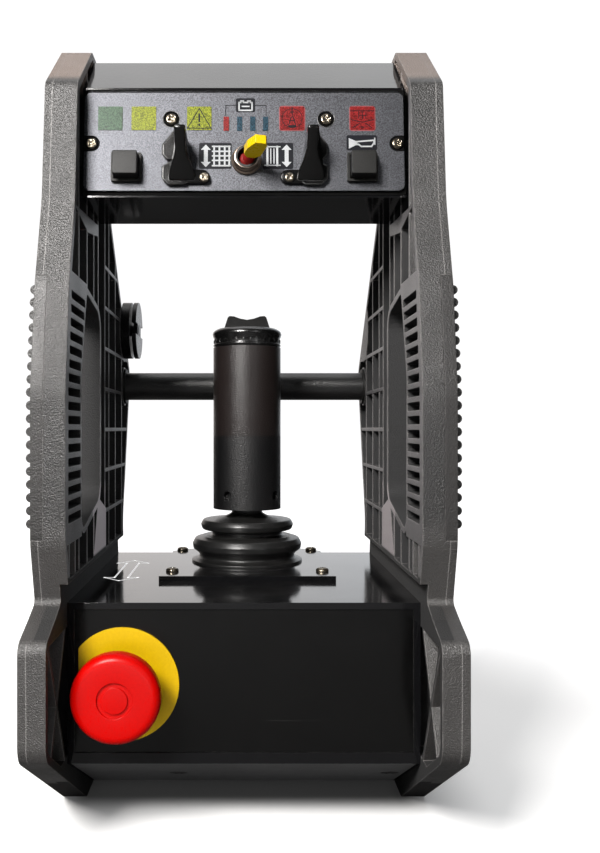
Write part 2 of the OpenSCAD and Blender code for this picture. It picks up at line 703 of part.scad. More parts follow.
module rocker_pin() {
    color("silver") translate([0, stick_y - grip_r * 0.7, rocker_pivot_z]) rotate([-90, 0, 0])
        cylinder(r = rocker_pin_r, h = grip_r * 1.4);
}
// Switch block under the cap, held on the top of the shaft.
module thumb_switch() {
    switch_foot = grip_foot + grip_len * 0.7;
    color([0.15, 0.15, 0.2]) translate([-grip_r * 0.45, stick_y - grip_r * 0.4, switch_foot])
        cube([grip_r * 0.9, grip_r * 0.8, grip_head - switch_foot]);
}
// Rocker with two raised ends and a dip for the thumb.
rocker_half = rocker_w / 2;
rocker_top = cap_top + rocker_proud - rocker_pivot_z;
rocker_points = [[-rocker_half, -rocker_foot_drop], [rocker_half, -rocker_foot_drop],
    [rocker_half, rocker_top * 0.4], [rocker_half * 0.86, rocker_top * 0.92],
    [rocker_half * 0.78, rocker_top], [rocker_half * 0.58, rocker_top * 0.98],
    [rocker_half * 0.3, rocker_top * 0.86], [0, rocker_top * 0.8],
    [-rocker_half * 0.3, rocker_top * 0.86], [-rocker_half * 0.58, rocker_top * 0.98],
    [-rocker_half * 0.78, rocker_top], [-rocker_half * 0.86, rocker_top * 0.92],
    [-rocker_half, rocker_top * 0.4]];
module thumb_rocker() {
    color([0.02, 0.02, 0.02]) translate([0, stick_y + rocker_len / 2, rocker_pivot_z]) rotate([90, 0, 0])
        difference() {
            linear_extrude(rocker_len) polygon(rocker_points);
            translate([0, 0, -cut]) cylinder(r = rocker_pin_r + running_fit, h = rocker_len + 2 * cut);
        }
}
module trigger_pin() {
    pin_half = trigger_w / 2 + fit + grip_wall * 0.7;
    color("silver") bar_across(trigger_pin_at, trigger_pin_r, -pin_half, pin_half);
}
// Enable trigger on the far side of the grip; it swings inwards about its top pin.
module trigger() {
    head_r = trigger_pin_r * 2.1;
    foot_z = trigger_pin_at.y - trigger_len;
    color([0.03, 0.03, 0.03]) difference() {
        across(-trigger_w / 2, trigger_w / 2) union() {
            translate(trigger_pin_at) circle(r = head_r);
            polygon([[trigger_pin_at.x, trigger_pin_at.y + head_r],
                [stick_y + grip_r, trigger_pin_at.y + head_r * 0.8],
                [stick_y + trigger_out, trigger_pin_at.y - head_r],
                [stick_y + trigger_out, foot_z + head_r * 1.6],
                [stick_y + trigger_out - head_r * 0.5, foot_z],
                [stick_y + trigger_in, foot_z],
                [stick_y + trigger_in, trigger_pin_at.y - head_r * 2],
                [trigger_pin_at.x - head_r * 0.6, trigger_pin_at.y - head_r * 0.8]]);
        }
        bar_across(trigger_pin_at, trigger_pin_r + running_fit, -grip_r, grip_r);
    }
}

// Emergency stop: everything turns about an axis that points out of the face panel.

module at_stop() {
    translate([-stop_left, face_y, stop_h]) rotate([90, 0, 0]) children();
}
legend_t = 1.2;
legend_trim = 22.3;
barrel_back = 14;
nut_t = 6;
block_len = 28;
module stop_legend() {
    color([0.9, 0.7, 0.02]) at_stop() difference() {
        intersection() {
            cylinder(r = legend_r, h = legend_t, $fn = 96);
            translate([-legend_trim, -legend_r, 0])
                cube([legend_trim + legend_r, 2 * legend_r, legend_t]);
        }
        translate([0, 0, -cut]) cylinder(r = stop_barrel_r, h = legend_t + 2 * cut);
    }
}
module stop_collar() {
    color([0.05, 0.05, 0.05]) at_stop() difference() {
        union() {
            translate([0, 0, -sheet_t - barrel_back])
                cylinder(r = stop_barrel_r, h = sheet_t + barrel_back + legend_t);
            translate([0, 0, legend_t]) cylinder(r = stop_collar_r, h = stop_collar_t);
        }
        translate([0, 0, -sheet_t - barrel_back - cut])
            cylinder(r = stop_stem_r + running_fit,
                h = barrel_back + sheet_t + legend_t + stop_collar_t + 2 * cut);
    }
}
module stop_nut() {
    color("silver") at_stop() translate([0, 0, -sheet_t - nut_t]) difference() {
        cylinder(r = stop_barrel_r * 1.45, h = nut_t, $fn = 6);
        translate([0, 0, -cut]) cylinder(r = stop_barrel_r, h = nut_t + 2 * cut);
    }
}
module stop_contact_block() {
    block_w = stop_barrel_r * 2.7;
    color([0.12, 0.12, 0.13]) at_stop() translate([0, 0, -sheet_t - barrel_back - block_len])
        difference() {
            translate([-block_w / 2, -block_w * 0.7, 0]) cube([block_w, block_w * 1.4, block_len]);
            translate([0, 0, block_len - stop_travel * 2])
                cylinder(r = stop_stem_r * 1.2, h = block_len);
        }
}
stem_back = -sheet_t - barrel_back - stop_travel * 0.2;
stem_front = stop_proud - stop_head_t * 0.3;
module stop_stem() {
    color([0.3, 0.3, 0.3]) at_stop() translate([0, 0, stem_back])
        cylinder(r = stop_stem_r, h = stem_front - stem_back);
}
// Mushroom head with a shallow ring groove in its face.
head_edge_share = 0.22;
module stop_head() {
    groove_in = stop_head_r * 0.29;
    groove_out = stop_head_r * 0.39;
    groove_t = stop_head_t * 0.06;
    head_foot = stop_proud - stop_head_t;
    edge = stop_head_r * head_edge_share;
    color([0.85, 0.02, 0.01]) at_stop() difference() {
        rotate_extrude($fn = 96) polygon(concat([[0, head_foot], [stop_head_r * 0.72, head_foot],
            [stop_head_r * 0.97, head_foot + stop_head_t * 0.3],
            [stop_head_r, head_foot + stop_head_t * 0.45]],
            [for (i = [0:arc_steps]) [stop_head_r - edge + edge * cos(i * 90 / arc_steps),
                stop_proud - edge + edge * sin(i * 90 / arc_steps)]],
            [[groove_out, stop_proud], [groove_out, stop_proud - groove_t],
                [groove_in, stop_proud - groove_t], [groove_in, stop_proud], [0, stop_proud]]));
        translate([0, 0, head_foot - cut])
            cylinder(r = stop_stem_r + running_fit, h = stem_front - head_foot + cut);
    }
}

// Upper case

upper_foot = height - upper_drop;
face_run = face_h * tan(face_tilt);
upper_back = upper_front + upper_len;
bevel_back = upper_front + face_run + bevel_run;
bevel_top = upper_foot + face_h + bevel_rise;
upper_section = [[back(upper_front), upper_foot], [back(upper_back), upper_foot],
    [back(bevel_back + upper_top_len), bevel_top], [back(bevel_back), bevel_top],
    [back(upper_front + face_run), upper_foot + face_h]];
upper_inner = moved_in(upper_section, sheet_t, 1);
upper_bolt_shares = [[0.289, 0.317], [0.669, 0.699]];
upper_bolts_at = [for (share = upper_bolt_shares)
    [back(upper_front + share.x * upper_len), upper_foot + share.y * (bevel_top - upper_foot)]];
panel_mid = [back(upper_front + face_run / 2), upper_foot + face_h / 2];
window_margin = 4;
window_w = panel_w - 3 * window_margin;
window_h = panel_h - 2 * window_margin;
cover_margin = 8;

// Puts a drawing whose XY plane is the panel, with its Z pointing out of it, on the face.
module on_panel() {
    translate([0, panel_mid.x, panel_mid.y]) rotate([90 - face_tilt, 0, 0]) children();
}
rear_low = upper_section[1];
rear_high = upper_section[2];
rear_slope = atan((rear_low.x - rear_high.x) / (rear_high.y - rear_low.y));
rear_h = norm(rear_high - rear_low);
module on_rear() {
    translate([0, (rear_low.x + rear_high.x) / 2, (rear_low.y + rear_high.y) / 2])
        rotate([-90 + rear_slope, 0, 0]) children();
}
rear_window_w = 2 * (cheek_in - cover_margin * 2);
rear_window_h = rear_h - cover_margin * 3;
module upper_case() {
    color([0.05, 0.05, 0.055]) difference() {
        across(-cheek_in, cheek_in) polygon(upper_section);
        across(-cheek_in + sheet_t, cheek_in - sheet_t) polygon(upper_inner);
        on_panel() translate([0, 0, -sheet_t - cut]) linear_extrude(sheet_t + 2 * cut)
            soft_rect(window_w, window_h, panel_r);
        placed(screw_at_shares) translate([0, 0, -sheet_t - cut])
            cylinder(r = screw_r, h = sheet_t + 2 * cut);
        on_rear() translate([-rear_window_w / 2, -rear_window_h / 2, -sheet_t - cut])
            cube([rear_window_w, rear_window_h, sheet_t + 2 * cut]);
        for (side = [-1, 1], place = upper_bolts_at)
            on_side(side) bar_across(place, bolt_r, cheek_in - sheet_t - cut, cheek_in + cut);
    }
}
module upper_rear_cover() {
    cover_t = sheet_t * 0.75;
    color([0.05, 0.05, 0.055]) on_rear() linear_extrude(cover_t)
        soft_rect(rear_window_w + cover_margin, rear_window_h + cover_margin, panel_r);
}
module upper_case_bolts() {
    color("dimgray") for (side = [-1, 1], place = upper_bolts_at)
        on_side(side) side_bolt(place, cheek_in - sheet_t - bolt_end);
}

// Control panel: places are shares of the panel's half width and half height.

button_at_shares = [[-0.73, -0.553], [0.735, -0.553]];
selector_at_share = [0.016, -0.4];
guard_at_shares = [[-0.412, -0.476], [0.424, -0.476]];
screw_at_shares = [[-0.454, 0.435], [0.514, 0.435], [-0.951, -0.055], [0.959, -0.055]];
guard_screw_shares = [[-0.25, -0.69], [0.281, -0.69]];
green_shares = [[-0.836, 0.448]];
lime_shares = [[-0.627, 0.448], [-0.28, 0.448]];
red_shares = [[0.302, 0.448], [0.741, 0.448]];
bar_shares = [-0.111, -0.027, 0.055, 0.135];
bar_w = 2.8;
bar_h = 7.8;
bar_drop = 3;
lens_t = 0.6;
lens_sunk = 0.3;
screw_r = 1.5;
screw_head_r = 3.2;
screw_head_t = 1.4;
screw_ring_r = 4.4;
screw_sunk = 0.5;
button_frame = 1.5;
button_frame_t = 2.4;
button_body_t = 20;
bushing_r = 5.9;
bushing_bore_r = 4.7;
bushing_len = 6;
ball_r = 4.2;
selector_body_w = 13;
selector_body_t = 20;
function on_face(share) = [share.x * panel_w / 2, share.y * panel_h / 2];

module placed(shares) {
    on_panel() for (share = shares) translate(on_face(share)) children();
}
module lens_places() {
    for (share = concat(green_shares, lime_shares, red_shares)) translate(on_face(share))
        square(lens_w, center = true);
    for (share = bar_shares) translate([share * panel_w / 2, red_shares[0].y * panel_h / 2 - bar_drop])
        square([bar_w, bar_h], center = true);
}
// Round recess for a screw's head, open to the panel's edge where the screw stands near it.
module screw_recess(share) {
    at = on_face(share);
    edge_gap = panel_w / 2 - abs(at.x);
    translate(at) circle(r = screw_ring_r);
    if (edge_gap < screw_ring_r * 2) translate([at.x + sign(at.x) * edge_gap / 2, at.y])
        square([edge_gap + cut, screw_ring_r * 2], center = true);
}
module control_panel() {
    color([0.3, 0.31, 0.34]) on_panel() difference() {
        linear_extrude(panel_t) soft_rect(panel_w, panel_h, panel_r);
        translate([0, 0, panel_t - lens_sunk]) linear_extrude(lens_sunk + cut) lens_places();
        for (share = button_at_shares) translate(on_face(share)) translate([0, 0, panel_t / 2])
            cube([button_w + button_frame, button_h + button_frame, panel_t + 2 * cut], center = true);
        translate(on_face(selector_at_share)) translate([0, 0, -cut])
            cylinder(r = bushing_r, h = panel_t + 2 * cut);
        for (share = concat(screw_at_shares, guard_screw_shares)) translate(on_face(share))
            translate([0, 0, -cut]) cylinder(r = screw_r, h = panel_t + 2 * cut);
        translate([0, 0, panel_t - screw_sunk]) linear_extrude(screw_sunk + cut)
            for (share = screw_at_shares) screw_recess(share);
    }
}
module panel_screw(seat) {
    translate([0, 0, seat]) rotate_extrude() polygon([[0, 0], [screw_head_r, 0],
        [screw_head_r, screw_head_t * 0.4], [screw_head_r * 0.7, screw_head_t], [0, screw_head_t]]);
    translate([0, 0, -sheet_t - screw_r])
        cylinder(r = screw_r, h = seat + sheet_t + screw_r + screw_head_t / 2);
}
guard_w = 14;
guard_h = 20.6;
guard_base_t = 2.6;
guard_fin_w = 6.7;
tab_h = 8.6;
// Side view of a guard's fin: shares of the guard's height and of how far it stands out.
fin_shares = [[-0.49, 0], [-0.476, 0.136], [-0.044, 0.545], [0.48, 0.985], [0.57, 1], [0.655, 0]];
knee_share = fin_shares[2];
lobe_shares = [0.33, -0.35];
module panel_screws() {
    color("silver") {
        placed(screw_at_shares) panel_screw(panel_t - screw_sunk);
        placed(guard_screw_shares) panel_screw(panel_t + guard_base_t);
    }
}
// Fin that keeps a passing hand off the selector: a lobed base with a screwed tab, and a
// blade that rises outwards and flares towards its foot.
module guard_base(at, screw_at) {
    lobe_side = sign(at.x - screw_at.x);
    linear_extrude(guard_base_t) {
        translate(at) soft_rect(guard_fin_w * 1.43, guard_h, guard_base_t / 2);
        for (share = lobe_shares)
            hull() for (reach = [0.1, 0.3])
                translate([at.x + lobe_side * guard_w * reach, at.y + share * guard_h])
                    circle(r = guard_w * 0.235);
        hull() {
            translate(screw_at) circle(r = tab_h / 2);
            translate([at.x, screw_at.y]) circle(r = tab_h / 2);
        }
    }
}
module guard_fin() {
    foot_h = guard_h * 0.32;
    translate([-guard_fin_w / 2, 0, 0]) rotate([90, 0, 90]) linear_extrude(guard_fin_w)
        polygon([for (share = fin_shares) [share.x * guard_h, share.y * guard_proud]]);
    hull() {
        translate([-guard_w / 2, fin_shares[0].x * guard_h, 0]) cube([guard_w, foot_h, guard_base_t]);
        translate([-guard_fin_w / 2, knee_share.x * guard_h - guard_base_t / 2, 0])
            cube([guard_fin_w, guard_base_t / 2, knee_share.y * guard_proud - guard_base_t / 4]);
    }
}
module switch_guard(at_share, screw_share) {
    at = on_face(at_share);
    screw_at = on_face(screw_share);
    on_panel() translate([0, 0, panel_t]) difference() {
        union() {
            guard_base(at, screw_at);
            translate(at) guard_fin();
        }
        translate(screw_at) translate([0, 0, -cut]) cylinder(r = screw_r, h = guard_base_t + 2 * cut);
    }
}
module left_switch_guard() {
    color([0.03, 0.03, 0.03]) switch_guard(guard_at_shares[0], guard_screw_shares[0]);
}
module right_switch_guard() {
    color([0.03, 0.03, 0.03]) switch_guard(guard_at_shares[1], guard_screw_shares[1]);
}

// Push-button: a frame on the panel with a hollow body behind it, in which the cap slides.
module button_body(at_share) {
    on_panel() translate(on_face(at_share)) difference() {
        union() {
            translate([0, 0, panel_t]) linear_extrude(button_frame_t)
                soft_rect(button_w + button_frame * 2, button_h + button_frame * 2, button_frame / 2);
            translate([0, 0, (panel_t - button_body_t) / 2 + panel_t / 2])
                cube([button_w + button_frame, button_h + button_frame, button_body_t + panel_t],
                    center = true);
        }
        translate([0, 0, button_frame_t])
            cube([button_w + 2 * fit, button_h + 2 * fit,
                (button_travel + button_frame_t + panel_t) * 2], center = true);
    }
}
module button_cap(at_share) {
    cap_foot = fit - panel_t;
    on_panel() translate(on_face(at_share)) translate([-button_w / 2, -button_h / 2, cap_foot])
        cube([button_w, button_h, panel_t + button_proud - cap_foot]);
}
module left_button_body() { color([0.05, 0.05, 0.05]) button_body(button_at_shares[0]); }
module right_button_body() { color([0.05, 0.05, 0.05]) button_body(button_at_shares[1]); }
module left_button_cap() { color([0.04, 0.04, 0.045]) button_cap(button_at_shares[0]); }
module right_button_cap() { color([0.04, 0.04, 0.045]) button_cap(button_at_shares[1]); }

module selector_body() {
    color([0.1, 0.1, 0.1]) on_panel() translate(on_face(selector_at_share)) difference() {
        union() {
            translate([-selector_body_w / 2, -selector_body_w / 2, -selector_body_t])
                cube([selector_body_w, selector_body_w, selector_body_t]);
            cylinder(r = bushing_r, h = panel_t + bushing_len);
        }
        translate([0, 0, -ball_r - fit])
            cylinder(r = bushing_bore_r, h = panel_t + bushing_len * 2 + ball_r);
    }
}
module selector_nut() {
    color("silver") on_panel() translate(on_face(selector_at_share)) translate([0, 0, panel_t])
        difference() {
            cylinder(r = bezel_r, h = bushing_len * 0.7);
            translate([0, 0, -cut]) cylinder(r = bushing_r, h = bushing_len + 2 * cut);
        }
}
// Toggle lever, at rest on its right-hand stop.
paddle_w = 9;
paddle_t = 4.4;
neck_r = 2;
module lever_frame() {
    on_panel() translate(on_face(selector_at_share)) translate([0, 0, panel_t])
        rotate([0, lever_lean, 0]) children();
}
module selector_lever() {
    paddle_from = bushing_len * 1.5;
    paddle_len = lever_len - paddle_from;
    color([0.95, 0.78, 0.02]) lever_frame() {
        sphere(r = ball_r);
        cylinder(r = neck_r, h = lever_len * 0.7);
        translate([0, paddle_t / 2, paddle_from]) rotate([90, 0, 0]) linear_extrude(paddle_t)
            polygon([[-neck_r, 0], [neck_r, 0], [paddle_w / 2, paddle_w * 0.4],
                [paddle_w / 2, paddle_len - paddle_w * 0.3], [paddle_w * 0.36, paddle_len],
                [-paddle_w * 0.24, paddle_len], [-paddle_w / 2, paddle_len * 0.6],
                [-paddle_w / 2, paddle_w * 0.4]]);
    }
}
// Red sealing sleeve on the lever's neck.
module selector_boot() {
    sleeve_t = 1.1;
    color([0.7, 0.05, 0.03]) lever_frame() translate([0, 0, ball_r * 1.05]) difference() {
        cylinder(r1 = neck_r + sleeve_t * 1.2, r2 = neck_r + sleeve_t * 0.5, h = bushing_len * 0.7);
        translate([0, 0, -cut]) cylinder(r = neck_r, h = bushing_len + 2 * cut);
    }
}
module lens(share) {
    on_panel() translate(on_face(share)) translate([-lens_w / 2, -lens_w / 2, panel_t - lens_sunk])
        cube([lens_w, lens_w, lens_t]);
}
module green_lens() { color([0.1, 0.5, 0.4]) for (share = green_shares) lens(share); }
module lime_lenses() { color([0.7, 0.8, 0.1]) for (share = lime_shares) lens(share); }
module red_lenses() { color([0.8, 0.15, 0.15]) for (share = red_shares) lens(share); }
module charge_bars() {
    bar_y = red_shares[0].y * panel_h / 2 - bar_drop;
    color([0.1, 0.3, 0.35]) on_panel() for (share = bar_shares)
        translate([share * panel_w / 2 - bar_w / 2, bar_y - bar_h / 2, panel_t - lens_sunk])
            cube([bar_w, bar_h, lens_t]);
}
// Circuit board behind the switches.
module control_board() {
    board_t = 1.6;
    board_foot = -button_body_t - board_t;
    color("darkgreen") on_panel() translate([0, 0, board_foot + board_t / 2])
        cube([window_w, window_h * 0.75, board_t], center = true);
}

// Crossbar and latch

bar_bolt_depth = 14;
module crossbar() {
    color([0.02, 0.02, 0.02]) difference() {
        bar_across(bar_at, bar_r, -cheek_in, cheek_in);
        for (side = [-1, 1]) on_side(side)
            bar_across(bar_at, bolt_r, cheek_in - bar_bolt_depth, cheek_in + cut);
    }
}
module crossbar_bolts() {
    color("dimgray") for (side = [-1, 1]) on_side(side) side_bolt(bar_at, cheek_in - bar_bolt_depth);
}
knob_pin_r = 4;
knob_gap = 1.8;
knob_t = 3;
module latch_barrel() {
    color([0.03, 0.03, 0.03]) on_side(-1) {
        bar_across(latch_at, barrel_r, cheek_in - barrel_len, cheek_in);
        bar_across(latch_at, knob_pin_r, cheek_in - barrel_len - knob_gap - knob_t - fit,
            cheek_in - barrel_len);
    }
}
// Quarter-turn knob on the barrel's pin: a slotted disc with a raised finger bar.
module latch_knob() {
    x_in = cheek_in - barrel_len - knob_gap - knob_t;
    color([0.03, 0.03, 0.03]) on_side(-1) difference() {
        across(x_in, x_in + knob_t) difference() {
            translate(latch_at) circle(r = barrel_r);
            for (reach = [-1, 0.45]) translate(latch_at + barrel_r * [reach, -0.2])
                square(barrel_r * [0.55, 0.4]);
        }
        bar_across(latch_at, knob_pin_r + running_fit, x_in - cut, x_in + knob_t + cut);
    }
}

left_cheek();
right_cheek();
left_grip_pad();
right_grip_pad();
lower_case();
face_panel();
base_panel();
base_screws();
lower_case_bolts();
cable_gland();
cable_gland_nut();
on_stick() gate_plate();
on_stick() gate_screws();
on_stick() joystick_base();
on_stick() tilt_pin();
on_stick() tilt_sensor_board();
on_stick() joystick_boot();
on_stick() joystick_shaft();
on_stick() joystick_grip();
on_stick() grip_cap();
on_stick() thumb_switch();
on_stick() rocker_pin();
on_stick() thumb_rocker();
on_stick() trigger_pin();
on_stick() trigger();
stop_legend();
stop_collar();
stop_nut();
stop_contact_block();
stop_stem();
stop_head();
upper_case();
upper_rear_cover();
upper_case_bolts();
control_panel();
panel_screws();
left_switch_guard();
right_switch_guard();
left_button_body();
right_button_body();
left_button_cap();
right_button_cap();
selector_body();
selector_nut();
selector_lever();
selector_boot();
green_lens();
lime_lenses();
red_lenses();
charge_bars();
control_board();
crossbar();
crossbar_bolts();
latch_barrel();
latch_knob();
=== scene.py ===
"""Looks of a scissor lift control box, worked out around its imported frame.

Lengths are in metres. X runs to the right, Y to the back and Z up, as in the frame. Outlines
and strokes that lie on the panel are in millimetres from the middle of its face.
"""

import math
from functools import cache

import bmesh
import bpy
import numpy as np
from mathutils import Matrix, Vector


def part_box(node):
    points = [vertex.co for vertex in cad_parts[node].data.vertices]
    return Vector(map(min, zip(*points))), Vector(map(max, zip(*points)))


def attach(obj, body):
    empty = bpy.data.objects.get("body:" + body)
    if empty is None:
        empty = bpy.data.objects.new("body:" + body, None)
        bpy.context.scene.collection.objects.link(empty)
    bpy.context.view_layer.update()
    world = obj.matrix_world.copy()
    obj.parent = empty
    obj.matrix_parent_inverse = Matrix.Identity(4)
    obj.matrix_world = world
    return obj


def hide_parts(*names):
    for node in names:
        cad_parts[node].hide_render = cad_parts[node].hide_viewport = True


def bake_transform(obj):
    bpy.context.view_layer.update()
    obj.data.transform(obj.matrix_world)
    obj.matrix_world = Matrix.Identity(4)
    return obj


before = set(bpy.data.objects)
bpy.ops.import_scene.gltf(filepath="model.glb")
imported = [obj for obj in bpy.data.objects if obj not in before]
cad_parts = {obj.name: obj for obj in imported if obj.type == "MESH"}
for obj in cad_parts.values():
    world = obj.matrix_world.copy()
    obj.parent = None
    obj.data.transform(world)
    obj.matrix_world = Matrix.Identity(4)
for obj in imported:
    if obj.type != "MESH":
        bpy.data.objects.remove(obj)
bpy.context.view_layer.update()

bl_info = {
    "name": "Lift control box",
    "version": (1, 0, 0),
    "blender": (4, 5, 0),
    "location": "3D View > Sidebar > Lift box",
    "description": "Dresses the frame of a scissor lift control box",
    "category": "Object",
}

FULL_TURN = 2 * math.pi
MM = 0.001


# Sizes and colours

def length(name, description, default):
    return bpy.props.FloatProperty(name=name, description=description, default=default,
                                   min=0.0, unit="LENGTH", precision=5)


def colour(name, description, default):
    return bpy.props.FloatVectorProperty(name=name, description=description, default=default,
                                         size=3, min=0.0, max=1.0, subtype="COLOR")


class BoxSizes(bpy.types.PropertyGroup):
    screw_recess: length("Screw recess", "Depth of the cross in a screw's head", 0.0011)
    plate_recess: length("Plate screw recess", "Depth of the cross in a larger head", 0.0014)
    panel_tilt: bpy.props.FloatProperty(
        name="Panel tilt", description="Angle by which the panel leans back",
        default=math.radians(6), subtype="ANGLE")
    panel_height: length("Panel height", "Height of the grey panel", 0.055)
    panel_thickness: length("Panel thickness", "Thickness of the grey panel", 0.002)
    print_thickness: length("Print thickness", "How far printed signs stand out", 0.00008)
    frame_line: length("Border line", "Width of the dark border round the panel", 0.0005)
    # Painted shade: a dark matt strip laid round the panel over the case's glossy edge
    shade_strip: length("Gasket", "How far the dark strip behind the panel stands out", 0.0003)
    boot_wall: length("Boot wall", "Wall of the rubber boot", 0.0018)
    shaft_radius: length("Shaft radius", "Radius of the rod inside the boot's neck", 0.008)
    slope_rise: length("Slope rise", "Height of the sloping strip under the front", 0.0375)
    slope_run: length("Slope run", "Depth of the sloping strip under the front", 0.071)
    screw_sunk: length("Screw depth", "How deep the panel's screws sit in their recesses", 0.0005)
    recess_radius: length("Recess radius", "Radius of the round recess of a panel screw", 0.0044)
    lens_proud: length("Window height", "How far the lamp windows stand out", 0.0003)
    cheek_edge: length("Cheek edge", "Softening of the cheeks' edges", 0.0008)
    cap_edge: length("Cap edge", "Softening of the edges of the grip's cap", 0.0003)
    rocker_edge: length("Rocker edge", "Softening of the edges of the rocker", 0.0006)
    guard_foot: length("Guard foot", "Thickness of the switch guards' feet", 0.0026)
    cap_mark: length("Cap mark", "Size of the raised marks round the grip's cap", 0.0011)
    # Level where the grip's painted sheen begins
    sheen_line: length("Tone line", "Height at which the grip's satin upper part begins", 0.206)
    sleeve_top: length("Sleeve top", "Level on the lever where its red foot ends", 0.0085)
    stick_shift: length("Joystick offset", "How far the joystick stands to the right", 0.002)


class BoxColours(bpy.types.PropertyGroup):
    cheek: colour("Cheeks", "Grained plastic of the side cheeks", (0.018, 0.017, 0.0165))
    pad: colour("Grip pads", "Soft pads on the grips", (0.018, 0.017, 0.0165))
    # Painted shade inside the cheeks' ribbed web and on the hand-hole walls
    hollow_shade: colour("Hollows", "Inside of the cheeks' ribbed web", (0.004, 0.004, 0.0045))
    # Painted reflection: the flush rib ends are lighter, as if they caught the bright room at a
    # glancing angle
    rib: colour("Rib ends", "Flush ends of the cheeks' ribs", (0.085, 0.082, 0.085))
    # Painted light on the flat web: strong at the left, weak at the right
    sheet_light_left: colour("Left web", "Flat web at the left, lit from the front", (0.80, 0.72, 0.76))
    sheet_light_right: colour("Right web", "Flat web at the right, in the shade", (0.30, 0.27, 0.28))
    # Painted shade: the lower grips are darker where less light falls
    grip_shade: colour("Held grip", "Lower grips, darkened by hands", (0.005, 0.005, 0.005))
    # Painted light: the cheeks below the grips are lighter, as if lit from below
    leg_light: colour("Cheek feet", "Cheeks below the grips, rubbed lighter", (0.080, 0.076, 0.073))
    # Painted sheen: the cheek tops are light and brownish, as if they reflected the bright room
    # above
    shoulder_sheen: colour("Shoulders", "Smooth tops of the cheeks", (0.19, 0.140, 0.115))
    seam: colour("Parting line", "Line where the cheek's mould parts", (0.15, 0.145, 0.14))
    case: colour("Cases", "Black coat of the two cases", (0.004, 0.004, 0.0045))
    plate: colour("Front plate", "Smooth black plate of the lower case", (0.002, 0.002, 0.002))
    base: colour("Base panel", "Panel under the front edge", (0.12, 0.12, 0.123))
    steel: colour("Steel", "Rods and pins", (0.62, 0.60, 0.57))
    bright: colour("Bright screws", "Plated screws", (0.21, 0.182, 0.140))
    chrome: colour("Ring", "Ring of the selector", (0.34, 0.265, 0.215))
    dark_steel: colour("Dark steel", "Blackened bolts", (0.10, 0.10, 0.10))
    rubber: colour("Rubber", "Black rubber boot", (0.008, 0.008, 0.008))
    grip: colour("Grip", "Lower part of the joystick's grip", (0.003, 0.003, 0.0033))
    # Painted sheen: the grip's upper part is lighter and brownish
    sheen: colour("Upper grip", "Satin upper part of the grip", (0.011, 0.008, 0.0075))
    black: colour("Black plastic", "Switches, guards and cap", (0.003, 0.003, 0.003))
    latch: colour("Latch", "Black plastic of the latch", (0.002, 0.002, 0.0022))
    bar: colour("Crossbar", "Black coat of the crossbar", (0.009, 0.009, 0.009))
    button: colour("Buttons", "Matt black of the push-buttons", (0.004, 0.004, 0.0035))
    panel: colour("Panel", "Speckled grey of the panel", (0.074, 0.076, 0.084))
    recess: colour("Recesses", "Sides and recesses of the panel", (0.006, 0.006, 0.006))
    red: colour("Red", "Head of the emergency stop", (0.41, 0.0008, 0.0002))
    yellow: colour("Yellow", "Disc under the emergency stop", (0.49, 0.31, 0.0003))
    lever: colour("Lever", "Yellow lever of the selector", (0.52, 0.36, 0.003))
    sleeve: colour("Sleeve", "Red sleeve of the lever", (0.20, 0.008, 0.007))
    green: colour("Green window", "Green lamp window", (0.034, 0.062, 0.038))
    lime: colour("Lime windows", "Yellow-green lamp windows", (0.125, 0.140, 0.008))
    lamp_red: colour("Red windows", "Red lamp windows", (0.120, 0.007, 0.007))
    teal: colour("Gauge bars", "Bars of the battery gauge", (0.008, 0.026, 0.040))
    board: colour("Boards", "Green circuit boards", (0.02, 0.12, 0.05))
    ink: colour("White print", "White signs of the panel", (0.34, 0.35, 0.36))
    arrow: colour("Arrow", "White arrow on the lower case", (0.9, 0.9, 0.9))
    dark_ink: colour("Dark print", "Dark boxes and lines", (0.006, 0.0065, 0.009))
    pink: colour("Window edges", "Pale edges of the red windows", (0.22, 0.07, 0.075))
    dust: colour("Dust", "Dust on moulded pieces", (0.30, 0.28, 0.26))
    film: colour("Film", "Dust on painted and metal pieces", (0.26, 0.25, 0.24))
    floor: colour("Floor", "Pale floor", (0.82, 0.82, 0.82))


# Shapes as grids of points

def unit(vectors):
    return vectors / np.linalg.norm(vectors, axis=-1, keepdims=True)


def bent(points, radii, steps=5, closed=False):
    """Line whose corners are arcs: each arc's centre lies on the corner's bisector, at the
    radius over the sine of half the angle, and the arc turns evenly between the two sides."""
    points = np.asarray(points, float)
    radii = np.broadcast_to(np.asarray(radii, float), len(points))
    inner = points if closed else points[1:-1]
    before = np.roll(points, 1, 0) if closed else points[:-2]
    after = np.roll(points, -1, 0) if closed else points[2:]
    radius = (radii if closed else radii[1:-1])[:, None]
    to_before, to_after = unit(before - inner), unit(after - inner)
    half = np.arccos(np.clip((to_before * to_after).sum(1), -1, 1))[:, None] / 2
    centre = inner + unit(to_before + to_after) * radius / np.sin(half)
    first = inner + to_before * radius / np.tan(half) - centre
    last = inner + to_after * radius / np.tan(half) - centre
    sweep = (math.pi - 2 * half)[:, None]
    share = np.linspace(0, 1, steps + 1)[None, :, None]
    arcs = centre[:, None] + (np.sin((1 - share) * sweep) * first[:, None]
                              + np.sin(share * sweep) * last[:, None]) / np.sin(sweep)
    line = arcs.reshape(-1, points.shape[1])
    return line if closed else np.vstack([points[:1], line, points[-1:]])


def evenly(profile, count):
    """The same open outline in (count) points whose distances along it are all the same."""
    profile = np.asarray(profile, float)
    along = np.concatenate([[0.0], np.cumsum(np.linalg.norm(np.diff(profile, axis=0), axis=1))])
    every = np.linspace(0.0, along[-1], count)
    return np.stack([np.interp(every, along, profile[:, 0]),
                     np.interp(every, along, profile[:, 1])], -1)


